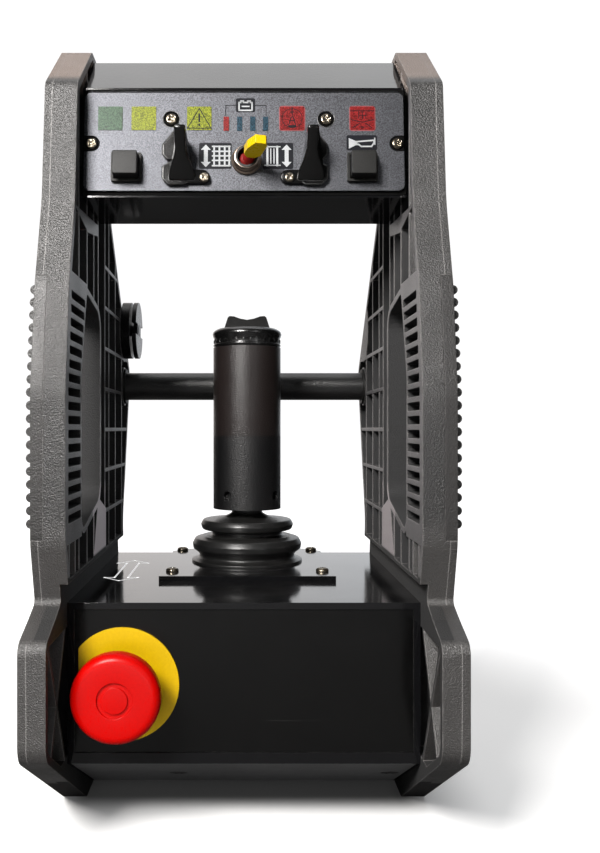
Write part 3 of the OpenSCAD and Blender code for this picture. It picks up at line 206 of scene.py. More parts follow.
def turned(profile, sides=96):
    """Profile of (radius, height) pairs carried round the Z axis: (r cos t, r sin t, h)."""
    turn = np.linspace(0, FULL_TURN, sides, endpoint=False)
    radius, height = np.asarray(profile, float).T
    return np.stack([np.outer(radius, np.cos(turn)), np.outer(radius, np.sin(turn)),
                     np.outer(height, np.ones(sides))], -1)


def outward(outline):
    """Outward mitre at each point of a closed outline that runs anticlockwise: the sum of the
    two sides' normals, as long as moves both sides by one."""
    side = unit(np.roll(outline, -1, 0) - outline)
    normal = np.stack([side[:, 1], -side[:, 0]], -1)
    total = normal + np.roll(normal, 1, 0)
    return total / np.maximum((total * total).sum(1, keepdims=True) / 2, 0.35)


def at_levels(rows, levels):
    """Rows of flat outlines, each lifted to its own level."""
    levels = np.asarray(levels, float)[:, None, None]
    return np.concatenate([rows, np.broadcast_to(levels, rows.shape[:2] + (1,))], -1)


def slab(outline, foot, top, edge=0.0, steps=3):
    """Plate on an outline, with a rounded upper edge: near the top the outline moves in by
    edge (1 - cos t) while it rises by edge sin t."""
    outline = np.asarray(outline, float)
    angle = np.linspace(0, math.pi / 2, steps + 1) if edge else np.zeros(1)
    inset = np.concatenate([[0.0], edge * (1 - np.cos(angle))])
    height = np.concatenate([[foot], top - edge + edge * np.sin(angle)])
    return at_levels(outline[None] - outward(outline)[None] * inset[:, None, None], height)


def circle(radius, sides=32, centre=(0.0, 0.0)):
    turn = np.linspace(0, FULL_TURN, sides, endpoint=False)
    return np.stack([centre[0] + radius * np.cos(turn), centre[1] + radius * np.sin(turn)], -1)


def oblong(width, height, corner, centre=(0.0, 0.0), steps=4):
    half = np.array([width, height]) / 2
    corners = np.array([[-1, -1], [1, -1], [1, 1], [-1, 1]]) * half + np.asarray(centre)
    return bent(corners, corner, steps, closed=True)


def screw_head(radius, height, recess, turn, sides=56, rings=26):
    """Pan head on a polar grid: its height falls with the sixth power of the radius. A cross
    sinks in where the nearer axis is within an arm's half-width and the farther within its
    reach, each with a soft edge."""
    share = np.linspace(0, 1, rings)[:, None]
    angle = np.linspace(0, FULL_TURN, sides, endpoint=False)[None]
    x, y = radius * share * np.cos(angle), radius * share * np.sin(angle)
    near, far = np.minimum(abs(x), abs(y)), np.maximum(abs(x), abs(y))
    arm = np.clip((radius * (0.17 + 0.05 * far / radius) - near) / (radius * 0.07), 0, 1)
    reach = np.clip((radius * 0.66 - far) / (radius * 0.12), 0, 1)
    top = height * (1 - 0.5 * share ** 6) - recess * arm * reach * (1 - 0.5 * far / radius)
    across = math.cos(turn) * x - math.sin(turn) * y
    up = math.sin(turn) * x + math.cos(turn) * y
    grid = np.stack([across, up, top], -1)
    return np.concatenate([grid, grid[-1:] * [1, 1, 0]], 0)


# Seats: a place and the three directions of what sits there

def seat(place, x_axis, y_axis):
    x_axis, y_axis = np.asarray(x_axis, float), np.asarray(y_axis, float)
    return np.asarray(place, float), np.stack([x_axis, y_axis, np.cross(x_axis, y_axis)])


def seated(points, where):
    return np.asarray(points, float) @ where[1] + where[0]


def moved(where, offset):
    """Seat shifted by an offset in its own directions."""
    return seated(offset, where), where[1]


def middle(node):
    low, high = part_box(node)
    return (np.array(low) + np.array(high)) / 2


def panel_seat(sizes):
    """Seat on the middle of the panel's face, with its Z pointing out of the face."""
    up = (0, math.sin(sizes.panel_tilt), math.cos(sizes.panel_tilt))
    where = seat(middle("control_panel"), (1, 0, 0), up)
    return moved(where, (0, 0, sizes.panel_thickness / 2))


def slope_seat(sizes):
    """Seat on the middle of the sloping strip under the front, with its Z pointing out of it."""
    low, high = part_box("lower_case")
    rise, run = sizes.slope_rise, sizes.slope_run
    long = math.hypot(rise, run)
    place = (0.0, low.y + run / 2, low.z + rise / 2)
    return seat(place, (1, 0, 0), (0, -run / long, rise / long))


# Pieces

MERGE = 1e-7


def shell(grid, close_rows=False, close_columns=True, caps=False):
    """Points and faces of a grid. Caps close its first and last rows with a face each."""
    rows, columns = grid.shape[:2]
    index = np.arange(rows * columns).reshape(rows, columns)
    down = np.roll(index, -1, 0) if close_rows else index[1:]
    here = index if close_rows else index[:-1]
    if close_columns:
        quads = [here, np.roll(here, -1, 1), np.roll(down, -1, 1), down]
    else:
        quads = [here[:, :-1], here[:, 1:], down[:, 1:], down[:, :-1]]
    faces = np.stack(quads, -1).reshape(-1, 4).tolist()
    if caps:
        faces += [index[0].tolist(), index[-1][::-1].tolist()]
    return grid.reshape(-1, 3), faces


def plate_shell(outline, foot, top, where, edge=0.0):
    """Shell of a plate on an outline, on a seat."""
    return shell(seated(slab(outline, foot, top, edge), where), caps=True)


def ring_shell(outer, inner, foot, top, where):
    """Shell of a flat ring between two outlines of as many points, on a seat."""
    rows = np.stack([outer, outer, inner, inner])
    return shell(seated(at_levels(rows, (foot, top, top, foot)), where), close_rows=True)


def piece(name, shells, material, body, stands_for=(), sharp=38.0):
    """One mesh from several closed shells, with its doubles merged and its faces outwards. It
    is part of the stage where it has no body, and with an empty body it is attached to none."""
    points, faces, start = [], [], 0
    for shell_points, shell_faces in shells:
        points.append(shell_points)
        faces += [[corner + start for corner in face] for face in shell_faces]
        start += len(shell_points)
    mesh = bpy.data.meshes.new(name)
    mesh.from_pydata(np.concatenate(points).tolist(), [], faces)
    form = bmesh.new()
    form.from_mesh(mesh)
    bmesh.ops.remove_doubles(form, verts=form.verts, dist=MERGE)
    bmesh.ops.dissolve_degenerate(form, edges=form.edges, dist=MERGE)
    bmesh.ops.recalc_face_normals(form, faces=form.faces)
    form.to_mesh(mesh)
    form.free()
    mesh.shade_smooth()
    mesh.set_sharp_from_angle(angle=math.radians(sharp))
    made = bpy.data.objects.new(name, mesh)
    bpy.context.scene.collection.objects.link(made)
    mesh.materials.append(material)
    if body is None:
        return made
    if body:
        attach(made, body)
    for node in stands_for:
        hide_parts(node)
    return made


def dress(nodes, material, edge=0.0):
    """Gives CAD nodes a material and, where an edge radius is given, softened edges. Their
    meshes are loose triangles, so the corners are joined and the flats made one face first."""
    for name in nodes:
        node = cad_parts[name]
        node.data.materials.clear()
        node.data.materials.append(material)
        if edge:
            weld = node.modifiers.new("Joined corners", "WELD")
            weld.merge_threshold = 1e-6
            flat = node.modifiers.new("Joined flats", "DECIMATE")
            flat.decimate_type = "DISSOLVE"
            flat.angle_limit = math.radians(0.5)
            soft = node.modifiers.new("Softened edges", "BEVEL")
            soft.width = edge
            soft.segments = 2
            soft.limit_method = "ANGLE"
            soft.angle_limit = math.radians(40)
            soft.use_clamp_overlap = True
            soft.harden_normals = False


# Shader groups. Noise scales are in cells to the metre

BROAD_GRAIN = 38.0
RAGGED_EDGE = 210.0
DUST_SPECKS = 900.0
DUST_DRIFT = 24.0
MARK_PATCHES = 30.0
GRAIN_HEIGHT = 0.0006


class Shader:
    """Short ways to add and link the nodes of one tree."""

    def __init__(self, tree):
        self.tree = tree

    def node(self, kind, inputs=None, **settings):
        made = self.tree.nodes.new(kind)
        for name, value in settings.items():
            setattr(made, name, value)
        for key, value in (inputs or {}).items():
            if isinstance(value, bpy.types.NodeSocket):
                self.tree.links.new(value, made.inputs[key])
            else:
                made.inputs[key].default_value = value
        return made

    def feed(self, socket, value):
        self.tree.links.new(value, socket)

    def group(self, tree, **inputs):
        return self.node("ShaderNodeGroup", inputs, node_tree=tree).outputs

    def noise(self, vector, scale, detail=2.0, roughness=0.5):
        return self.node("ShaderNodeTexNoise", {"Vector": vector, "Scale": scale, "Detail": detail,
                                                "Roughness": roughness}).outputs["Fac"]

    def spread(self, value, low, high, to_low=0.0, to_high=1.0):
        return self.node("ShaderNodeMapRange", {
            "Value": value, "From Min": low, "From Max": high, "To Min": to_low,
            "To Max": to_high}, interpolation_type="SMOOTHSTEP").outputs["Result"]

    def fall(self, value, low, high):
        return self.spread(value, low, high, 1.0, 0.0)

    def worked(self, operation, first, *others):
        for other in others or (0.0,):
            made = self.node("ShaderNodeMath", {0: first, 1: other}, operation=operation)
            first = made.outputs[0]
        return first

    def product(self, *factors):
        return self.worked("MULTIPLY", *factors)

    def total(self, *terms):
        return self.worked("ADD", *terms)

    def less(self, first, second):
        return self.worked("SUBTRACT", first, second)

    def larger(self, first, second):
        return self.worked("MAXIMUM", first, second)

    def size_of(self, value):
        return self.worked("ABSOLUTE", value)

    def vectors(self, operation, *given):
        return self.node("ShaderNodeVectorMath", dict(enumerate(given)),
                         operation=operation).outputs

    def parts(self, vector):
        return self.node("ShaderNodeSeparateXYZ", {0: vector}).outputs

    def mixed(self, share, first, second):
        return self.node("ShaderNodeMix", {0: share, 6: first, 7: second},
                         data_type="RGBA").outputs[2]

    def stretched(self, vector, scale, turn=(0.0, 0.0, 0.0)):
        return self.node("ShaderNodeMapping", {"Vector": vector, "Rotation": turn,
                                               "Scale": scale}).outputs["Vector"]

    def own_place(self):
        return self.node("ShaderNodeTexCoord").outputs["Object"]

    def normal(self):
        return self.node("ShaderNodeNewGeometry").outputs["Normal"]


def new_group(name, inputs, **outputs):
    """Shader node group whose inputs are numbers with defaults, and whose outputs are given
    by their kind of socket."""
    tree = bpy.data.node_groups.new(name, "ShaderNodeTree")
    for label, default in inputs.items():
        socket = tree.interface.new_socket(label, in_out="INPUT", socket_type="NodeSocketFloat")
        socket.default_value = default
    for label, kind in outputs.items():
        tree.interface.new_socket(label, in_out="OUTPUT", socket_type="NodeSocket" + kind)
    shader = Shader(tree)
    return shader, shader.node("NodeGroupInput").outputs, shader.node("NodeGroupOutput").inputs


@cache
def grain_group():
    """Moulded grain: fine noise on coarser noise, as a tone and as a normal over soft edges.
    The edge mask, which lightens edges both as marks of use and as a painted highlight, is
    how far the rounded normal turns from the flat one."""
    s, given, out = new_group("Moulded grain", {"Scale": 1500.0, "Depth": 0.2, "Edge": 0.0006},
                              Tone="Float", Rubbed="Float", Normal="Vector")
    place = s.own_place()
    fine = s.noise(place, given["Scale"], 3.0, 0.6)
    broad = s.noise(place, BROAD_GRAIN, 3.0, 0.55)
    cells = s.node("ShaderNodeTexVoronoi", {"Vector": place, "Scale": given["Scale"]},
                   feature="SMOOTH_F1").outputs["Distance"]
    height = s.total(s.product(cells, 0.35), fine)
    soft = s.node("ShaderNodeBevel", {"Radius": given["Edge"]}, samples=4).outputs["Normal"]
    turn = s.less(1.0, s.vectors("DOT_PRODUCT", soft, s.normal())["Value"])
    ragged = s.spread(s.noise(place, RAGGED_EDGE, 4.0, 0.65), 0.35, 0.65, 0.35, 1.0)
    s.feed(out["Rubbed"], s.product(s.spread(turn, 0.02, 0.22), ragged))
    tone = s.total(s.product(fine, 0.6), s.product(broad, 0.4))
    s.feed(out["Tone"], s.spread(tone, 0.3, 0.7))
    bump = s.node("ShaderNodeBump", {"Strength": given["Depth"], "Distance": GRAIN_HEIGHT,
                                     "Height": height, "Normal": soft})
    s.feed(out["Normal"], bump.outputs["Normal"])
    return s.tree


@cache
def dust_group():
    """Settled dust: broken noise, thicker where a surface faces up."""
    s, given, out = new_group("Settled dust", {"Amount": 0.3}, Mask="Float")
    place = s.own_place()
    specks = s.spread(s.noise(place, DUST_SPECKS, 2.0, 0.7), 0.55, 0.72)
    drift = s.spread(s.noise(place, DUST_DRIFT, 4.0, 0.6), 0.35, 0.7)
    lying = s.spread(s.parts(s.normal())["Z"], 0.1, 1.0, 0.04, 1.0)
    veil = s.total(s.product(drift, 0.6), s.product(specks, 0.5))
    s.feed(out["Mask"], s.product(veil, lying, given["Amount"]))
    return s.tree


@cache
def marks_group():
    """Handling marks: long fine scratches in two directions, and soft wiped patches."""
    s, given, out = new_group("Handling marks", {"Scratches": 0.5},
                              Scratch="Float", Wipe="Float")
    place = s.own_place()
    lines = []
    for turn, scale in (((0.3, 0.5, 0.4), (26.0, 900.0, 900.0)),
                        ((1.1, 0.2, 1.2), (900.0, 22.0, 700.0))):
        lines.append(s.spread(s.noise(s.stretched(place, scale, turn), 1.0), 0.66, 0.74))
    kept = s.spread(s.noise(place, MARK_PATCHES, 3.0, 0.6), 0.5, 0.72)
    s.feed(out["Scratch"], s.product(s.larger(*lines), kept, given["Scratches"]))
    wipe = s.noise(s.stretched(place, (14.0, 9.0, 20.0)), 1.0, 4.0, 0.6)
    s.feed(out["Wipe"], s.spread(wipe, 0.3, 0.75))
    return s.tree


# Materials

def opaque(rgb, factor=1.0):
    return tuple(min(1.0, channel * factor) for channel in rgb) + (1.0,)


def started(name):
    """New material, its shader tools and the inputs of its Principled shader."""
    material = bpy.data.materials.new(name)
    material.use_nodes = True
    return material, Shader(material.node_tree), material.node_tree.nodes["Principled BSDF"].inputs


def moulded(name, rgb, grain=1500.0, depth=0.25, rough=(0.42, 0.62), edge=0.0007, wear=1.9,
            dust=0.12, contrast=0.35, specular=0.5, tone_by_place=None):
    """Grained plastic or rubber: tone and roughness follow the grain, and its edges are made
    lighter, partly by use and partly as a painted highlight. tone_by_place may change the
    base colour by where a point lies, and says where the surface is matt."""
    material, s, surface = started(name)
    grained = s.group(grain_group(), Scale=grain, Depth=depth, Edge=edge)
    settled = s.group(dust_group(), Amount=dust)["Mask"]
    tone = s.mixed(grained["Tone"], opaque(rgb, 1 - contrast), opaque(rgb, 1 + contrast))
    smooth = s.spread(grained["Tone"], 0.0, 1.0, rough[1], rough[0])
    if tone_by_place:
        tone, matt = tone_by_place(s, tone)
        smooth = s.larger(smooth, matt)
    # Lighter edges: marks of use and a painted highlight where edges catch the light
    wear_glint_tone = s.mixed(grained["Rubbed"], tone, opaque(rgb, wear))
    dust_rgb = opaque(bpy.context.scene.box_colours.dust)
    s.feed(surface["Base Color"], s.mixed(settled, wear_glint_tone, dust_rgb))
    s.feed(surface["Roughness"], smooth)
    s.feed(surface["Normal"], grained["Normal"])
    surface["Specular IOR Level"].default_value = specular
    return material


def coated(name, rgb, rough=(0.18, 0.38), peel=420.0, depth=0.04, scratches=0.5, dust=0.15,
           edge=0.0006, metallic=0.0, wear=(0.09, 0.088, 0.085)):
    """Painted or bare metal: an orange-peel bump, wiped patches in the roughness, fine
    scratches, and edges made lighter, partly by use and partly as a painted highlight."""
    material, s, surface = started(name)
    grained = s.group(grain_group(), Scale=peel, Depth=depth, Edge=edge)
    handled = s.group(marks_group(), Scratches=scratches)
    settled = s.group(dust_group(), Amount=dust)["Mask"]
    tone = s.mixed(grained["Tone"], opaque(rgb, 0.85), opaque(rgb, 1.15))
    # Lighter edges: marks of use and a painted highlight
    worn_glint_tone = s.mixed(grained["Rubbed"], tone, wear + (1.0,))
    marked = s.mixed(handled["Scratch"], worn_glint_tone, wear + (1.0,))
    film_rgb = opaque(bpy.context.scene.box_colours.film)
    s.feed(surface["Base Color"], s.mixed(settled, marked, film_rgb))
    wiped = s.spread(handled["Wipe"], 0.0, 1.0, *rough)
    s.feed(surface["Roughness"], s.total(wiped, s.product(handled["Scratch"], 0.25)))
    s.feed(surface["Normal"], grained["Normal"])
    surface["Metallic"].default_value = metallic
    return material


# Where the cheeks change their tone: each pair is where a change begins and ends
SHOULDER_FOOT = (0.392, 0.398)
FACE_BEND = (0.280, 0.310)
FACE_BACK = (-0.080, -0.052)
WEB_SIDE = (0.0962, 0.0972)
WALL_FRONT = (-0.080, -0.070)
WALL_TOP = (0.285, 0.300)
RIB_END = (0.0862, 0.0867)
RIB_FOOT = (0.137, 0.139)
SHEET_FRONT = (-0.031, -0.029)
SHEET_BACK = (0.0165, 0.0185)
SHEET_TOP = (0.176, 0.180)
GRIP_SHADE_FOOT = (0.155, 0.175)
GRIP_SHADE_TOP = (0.205, 0.250)
LEG_LIGHT_TOP = (0.145, 0.170)
SEAM_SIDE = 0.0992
SEAM_EDGE = (0.00015, 0.00032)
SEAM_DRIFT = 0.002


def cheek_tone(c):
    """Tone rule for the cheeks: painted shade, dark and matt, inside the ribbed web and on the
    walls of the hand-holes; a pale painted reflection on the flush ends of its ribs, painted
    light on the flat web; painted shade on the lower grip and painted light below it; a smooth,
    brownish painted sheen on the cheek tops; and a pale parting line at the seam's distance from
    the middle."""
    def rule(s, tone):
        part = s.parts(s.own_place())
        way = s.parts(s.normal())
        side, sideways = s.size_of(part["X"]), s.size_of(way["X"])
        shoulder_sheen = s.spread(part["Z"], *SHOULDER_FOOT)
        face_line = s.spread(part["Z"], *FACE_BEND, *FACE_BACK)
        face = s.fall(s.less(part["Y"], face_line), 0.0, 0.003)
        face = s.product(face, s.fall(way["Y"], -0.6, -0.3))
        behind = s.less(1.0, s.larger(face, shoulder_sheen))
        # Painted shade: the hand-hole walls and the inside of the web take the dark web colour
        walls = s.product(s.spread(part["Y"], *WALL_FRONT), s.fall(sideways, 0.3, 0.5),
                          s.fall(part["Z"], *WALL_TOP))
        inner = s.product(s.larger(s.fall(side, *WEB_SIDE), walls), behind)
        # Painted shade on the lower grip
        grip_shade = s.product(s.spread(part["Z"], *GRIP_SHADE_FOOT), s.spread(part["Z"], *GRIP_SHADE_TOP, 0.75, 0.0))
        # Painted light below the grips
        leg_light = s.spread(part["Z"], *LEG_LIGHT_TOP, 0.28, 0.0)
        shaded = s.mixed(leg_light, s.mixed(grip_shade, tone, opaque(c.grip_shade)), opaque(c.leg_light))
        shaded = s.mixed(inner, shaded, opaque(c.hollow_shade))
        # Painted reflection on the flush ends of the ribs
        flush = s.product(s.fall(side, *RIB_END), s.spread(sideways, 0.6, 0.8),
                          s.spread(part["Z"], *RIB_FOOT))
        shaded = s.mixed(flush, shaded, opaque(c.rib))
        # Painted light on the flat web, lighter at the left
        sheet = s.product(s.spread(part["Y"], *SHEET_FRONT), s.fall(part["Y"], *SHEET_BACK),
                          s.fall(part["Z"], *SHEET_TOP), flush)
        pale = s.mixed(s.spread(part["X"], -0.01, 0.01), opaque(c.sheet_light_left),
                       opaque(c.sheet_light_right))
        shaded = s.mixed(sheet, shaded, pale)
        matt = s.product(inner, 0.8, s.less(1.0, flush))
        # Painted sheen on the cheek tops
        shaded = s.mixed(s.product(shoulder_sheen, 0.6), shaded, opaque(c.shoulder_sheen))
        drift = s.product(s.less(s.noise(s.own_place(), 9.0), 0.5), SEAM_DRIFT)
        away = s.size_of(s.less(s.total(side, drift), SEAM_SIDE))
        line = s.product(s.fall(away, *SEAM_EDGE), s.fall(way["Y"], -0.8, -0.5), 0.8)
        return s.mixed(line, shaded, opaque(c.seam)), matt
    return rule


def grip_tone(level, rgb):
    """Tone rule for the grip: above a level a painted sheen, lighter and brownish, on a smoother
    finish; below it plain dark and rougher.
    """
    def rule(s, tone):
        upper = s.spread(s.parts(s.own_place())["Z"], level - 0.0003, level + 0.0003)
        return s.mixed(upper, tone, opaque(rgb)), s.spread(upper, 0.0, 1.0, 0.42, 0.0)
    return rule


def foot_tone(where, level, rgb):
    """Tone rule for the lever: one colour up to a level above a seat, its own beyond it."""
    start = float(where[0] @ where[1][2]) + level

    def rule(s, tone):
        height = s.vectors("DOT_PRODUCT", s.own_place(), tuple(where[1][2]))["Value"]
        return s.mixed(s.fall(height, start, start + 0.0003), tone, opaque(rgb)), 0.0
    return rule


def speckled(name, rgb, recess, face):
    """Metallic-looking overlay: small flecks lighten and darken the grey. What lies below the
    level of the face, its sides and the screws' recesses, is dark."""
    material, s, surface = started(name)
    place = s.own_place()
    height = s.vectors("DOT_PRODUCT", place, tuple(face[1][2]))["Value"]
    level = float(face[0] @ face[1][2])
    sunk = s.fall(height, level - 0.00015, level - 0.00005)
    flecks = s.noise(place, 1500.0, 3.0, 0.75)
    cloud = s.noise(place, 16.0, 3.0, 0.5)
    grey = s.mixed(s.spread(flecks, 0.38, 0.62), opaque(rgb, 0.55), opaque(rgb, 1.5))
    faded = s.mixed(s.spread(cloud, 0.3, 0.7, 0.0, 0.35), grey, opaque(rgb, 0.8))
    s.feed(surface["Base Color"], s.mixed(sunk, faded, opaque(recess)))
    s.feed(surface["Roughness"], s.spread(flecks, 0.3, 0.7, 0.43, 0.53))
    surface["Metallic"].default_value = 0.9
    bump = s.node("ShaderNodeBump", {"Strength": 0.45, "Distance": 0.0002, "Height": flecks})
    s.feed(surface["Normal"], bump.outputs["Normal"])
    return material


def window(name, rgb):
    """Lamp window: a dyed film with a fine mottled print under a smooth face."""
    material, s, surface = started(name)
    mottle = s.noise(s.own_place(), 1500.0, 3.0, 0.75)
    s.feed(surface["Base Color"], s.mixed(s.spread(mottle, 0.38, 0.62), opaque(rgb, 0.42),
                                          opaque(rgb, 1.7)))
    s.feed(surface["Roughness"], s.spread(mottle, 0.3, 0.7, 0.34, 0.48))
    surface["Specular IOR Level"].default_value = 0.15
    return material


def printed(name, rgb, glow=0.0):
    """Screen-print ink: slightly uneven cover. A glow is painted light that makes the ink brighter
    than the lamps make it.
    """
    material, s, surface = started(name)
    cover = s.noise(s.own_place(), 2200.0, 3.0, 0.6)
    s.feed(surface["Base Color"], s.mixed(s.spread(cover, 0.3, 0.7), opaque(rgb, 0.82),
                                          opaque(rgb, 1.08)))
    s.feed(surface["Roughness"], s.spread(cover, 0.3, 0.7, 0.42, 0.55))
    surface["Specular IOR Level"].default_value = 0.12
    surface["Emission Color"].default_value = opaque(rgb)
    surface["Emission Strength"].default_value = glow
    return material


# Grained finishes: colour, grain to the metre, its depth, roughness from smooth to rough,
# radius of the lighter edges (marks of use and a painted highlight), and what else differs
MOULDED = {
    "cheek_plastic": ("cheek", 1350.0, 0.8, (0.36, 0.50), 0.0009,
                      {"wear": 12.0, "dust": 0.0, "contrast": 0.7, "specular": 0.8}),
    "pad_rubber": ("pad", 1250.0, 0.5, (0.36, 0.52), 0.0005,
                   {"wear": 3.0, "dust": 0.0, "specular": 0.6}),
    "gland_plastic": ("black", 1500.0, 0.15, (0.4, 0.55), 0.0007, {}),
    "base_plastic": ("black", 1500.0, 0.15, (0.4, 0.55), 0.0007, {}),
    "boot_rubber": ("rubber", 900.0, 0.10, (0.28, 0.38), 0.0004,
                    {"wear": 1.5, "dust": 0.03}),
    "stick_plastic": ("grip", 1500.0, 0.35, (0.28, 0.36), 0.0004,
                      {"wear": 1.6, "dust": 0.0, "specular": 0.6}),
    "switch_plastic": ("black", 1500.0, 0.1, (0.3, 0.5), 0.0007, {}),
    "stop_yellow": ("yellow", 700.0, 0.05, (0.35, 0.5), 0.0003,
                    {"wear": 1.1, "dust": 0.0, "contrast": 0.06, "specular": 0.15}),
    "cap_gloss": ("black", 1500.0, 0.05, (0.16, 0.28), 0.0003,
                  {"wear": 8.0, "dust": 0.0, "specular": 0.9}),
    "stop_black": ("black", 900.0, 0.05, (0.2, 0.32), 0.0004, {"wear": 2.5}),
    "stop_red": ("red", 800.0, 0.04, (0.26, 0.38), 0.0004,
                 {"wear": 1.2, "dust": 0.0, "contrast": 0.10, "specular": 0.16}),
    "guard_plastic": ("black", 1500.0, 0.05, (0.14, 0.22), 0.0006,
                      {"wear": 30.0, "dust": 0.0, "specular": 0.42}),
    "button_plastic": ("button", 1600.0, 0.08, (0.50, 0.60), 0.0004,
                       {"wear": 28.0, "dust": 0.0, "specular": 0.3}),
    "selector_yellow": ("lever", 700.0, 0.04, (0.25, 0.38), 0.0004,
                        {"wear": 1.1, "dust": 0.0, "contrast": 0.06, "specular": 0.2}),
    "selector_red": ("sleeve", 900.0, 0.06, (0.35, 0.5), 0.0003,
                     {"wear": 1.1, "dust": 0.05, "contrast": 0.2}),
    "dark_gap": ("black", 900.0, 0.1, (0.8, 0.9), 0.0007, {"dust": 0.0, "specular": 0.05}),
    "bar_paint": ("bar", 1100.0, 0.4, (0.29, 0.37), 0.0007, {"dust": 0.0, "specular": 1.0}),
    "latch_plastic": ("latch", 1500.0, 0.12, (0.24, 0.34), 0.0007,
                      {"wear": 8.0, "dust": 0.0, "specular": 0.35}),
}

# Painted and bare metal: colour, roughness from wiped to dull, peel to the metre, its depth,
# and what else differs
COATED = {
    "case_paint": ("case", (0.07, 0.13), 520.0, 0.03,
                   {"dust": 0.06, "edge": 0.0003, "wear": (0.02, 0.02, 0.02)}),
    "panel_paint": ("plate", (0.14, 0.26), 260.0, 0.03, {"scratches": 0.12, "dust": 0.05}),
    "base_paint": ("base", (0.3, 0.45), 420.0, 0.04, {"dust": 0.3}),
    "bolt_steel": ("dark_steel", (0.30, 0.45), 700.0, 0.05,
                   {"metallic": 0.9, "wear": (0.4, 0.4, 0.4)}),
    "bright_steel": ("bright", (0.24, 0.36), 800.0, 0.05,
                     {"metallic": 1.0, "dust": 0.0, "wear": (0.9, 0.86, 0.78)}),
    "shaft_steel": ("steel", (0.25, 0.4), 500.0, 0.05,
                    {"metallic": 1.0, "wear": (0.8, 0.78, 0.75)}),
    "chrome": ("chrome", (0.28, 0.42), 300.0, 0.02,
               {"metallic": 1.0, "dust": 0.0, "wear": (0.95, 0.9, 0.85)}),
    "board_green": ("board", (0.25, 0.4), 900.0, 0.06, {}),
}

WINDOWS = {"lens_green": "green", "lens_lime": "lime", "lens_red": "lamp_red", "bar_teal": "teal"}
# Inks: colour and glow. The arrow's glow is painted light
INKS = {"white_ink": ("ink", 0.0), "dark_ink": ("dark_ink", 0.0), "pink_line": ("pink", 0.0),
        "arrow_ink": ("arrow", 0.6)}


@cache
def finish(name):
    """Material of one finish, made when it is first asked for."""
    c, sizes = bpy.context.scene.box_colours, bpy.context.scene.box_sizes
    face = panel_seat(sizes)
    rules = {"cheek_plastic": cheek_tone(c),
             "stick_plastic": grip_tone(sizes.sheen_line, c.sheen),
             "selector_yellow": foot_tone(face, sizes.sleeve_top, c.sleeve)}
    if name in MOULDED:
        *given, more = MOULDED[name]
        return moulded(name, getattr(c, given[0]), *given[1:], **more,
                       tone_by_place=rules.get(name))
    if name in COATED:
        shade, rough, peel, depth, more = COATED[name]
        return coated(name, getattr(c, shade), rough, peel, depth, **more)
    if name in WINDOWS:
        return window(name, getattr(c, WINDOWS[name]))
    if name in INKS:
        shade, glow = INKS[name]
        return printed(name, getattr(c, shade), glow)
    return speckled(name, c.panel, c.recess, face)


# The stage

WHITE = (1.0, 1.0, 1.0)

# The room: its tint at the left and at the right, and how strongly its dark front, its
# ceiling, its left wall and the backdrop that the camera sees glow
WARM_SIDE = (1.0, 0.93, 0.89)
COOL_SIDE = (0.90, 0.95, 1.0)
ROOM_GLOW = 0.006
CEILING_GLOW = 0.11
LEFT_GLOW = 0.05
BACKDROP_GLOW = 1.05

# The floor: middle and half size of the rectangle that the box stands on, round which a
# shadow is painted on the floor, and the dim grey that rays other than the camera's meet
FLOOR_REST = (0.0, 0.035, 0.0)
FLOOR_SHADE = (0.088, 0.060, 0.0)
FLOOR_RETURN = (0.10, 0.10, 0.10)

CAMERA_PLACE = (0.0, -0.5192, 0.211)
CAMERA_LENS = 36.3
CAMERA_SHIFT = (0.0657, 0.0018)

# Lights: name, place, target, size, power, tint and whether reflections show them
LIGHTS = (
    ("Key", (-0.36, -0.76, 0.71), (-0.05, -0.05, 0.28), (0.28, 0.28), 19.0, (1.0, 0.975, 0.95),
     True),
    ("Top", (0.05, 0.25, 1.15), (0.0, 0.0, 0.3), (0.9, 0.5), 2.0, WHITE, True),
    ("Front fill", (0.5, -1.3, 0.55), (0.0, 0.0, 0.2), (0.5, 0.5), 0.4, WHITE, True),
    ("Bounce", (-0.10, -0.75, 0.03), (0.0, 0.0, 0.15), (0.8, 0.3), 4.5, WHITE, False),
    ("Right strip", (0.42, -0.62, 0.42), (0.0, -0.05, 0.35), (0.02, 0.45), 0.35, WHITE, True),
)


def by_ray(s, others, camera):
    """Shows the camera one shader and all other rays another."""
    ray = s.node("ShaderNodeLightPath").outputs["Is Camera Ray"]
    return s.node("ShaderNodeMixShader", {0: ray, 1: others, 2: camera}).outputs[0]


def backdrop_light():
    """World: white where the camera looks past the box, and for all other rays a room whose
    back is bright, whose ceiling and left wall glow faintly and whose front is dark."""
    world = bpy.data.worlds.new("Studio")
    bpy.context.scene.world = world
    world.use_nodes = True
    world.node_tree.nodes.clear()
    s = Shader(world.node_tree)
    way = s.parts(s.node("ShaderNodeTexCoord").outputs["Generated"])
    aside = s.spread(s.size_of(way["X"]), 0.25, 0.75, 1.15, 0.35)
    back = s.product(s.spread(way["Y"], 0.35, 1.0), aside)
    above = s.product(s.spread(way["Z"], 0.3, 1.0), CEILING_GLOW)
    left = s.product(s.spread(way["X"], 0.1, -0.9), LEFT_GLOW)
    glow = s.total(back, above, left)
    tint = s.mixed(s.spread(way["X"], -0.4, 0.4), opaque(WARM_SIDE), opaque(COOL_SIDE))
    room = s.node("ShaderNodeBackground", {"Color": tint, "Strength": s.total(glow, ROOM_GLOW)})
    seen = s.node("ShaderNodeBackground", {"Color": opaque(WHITE), "Strength": BACKDROP_GLOW})
    s.node("ShaderNodeOutputWorld", {"Surface": by_ray(s, room.outputs[0], seen.outputs[0])})


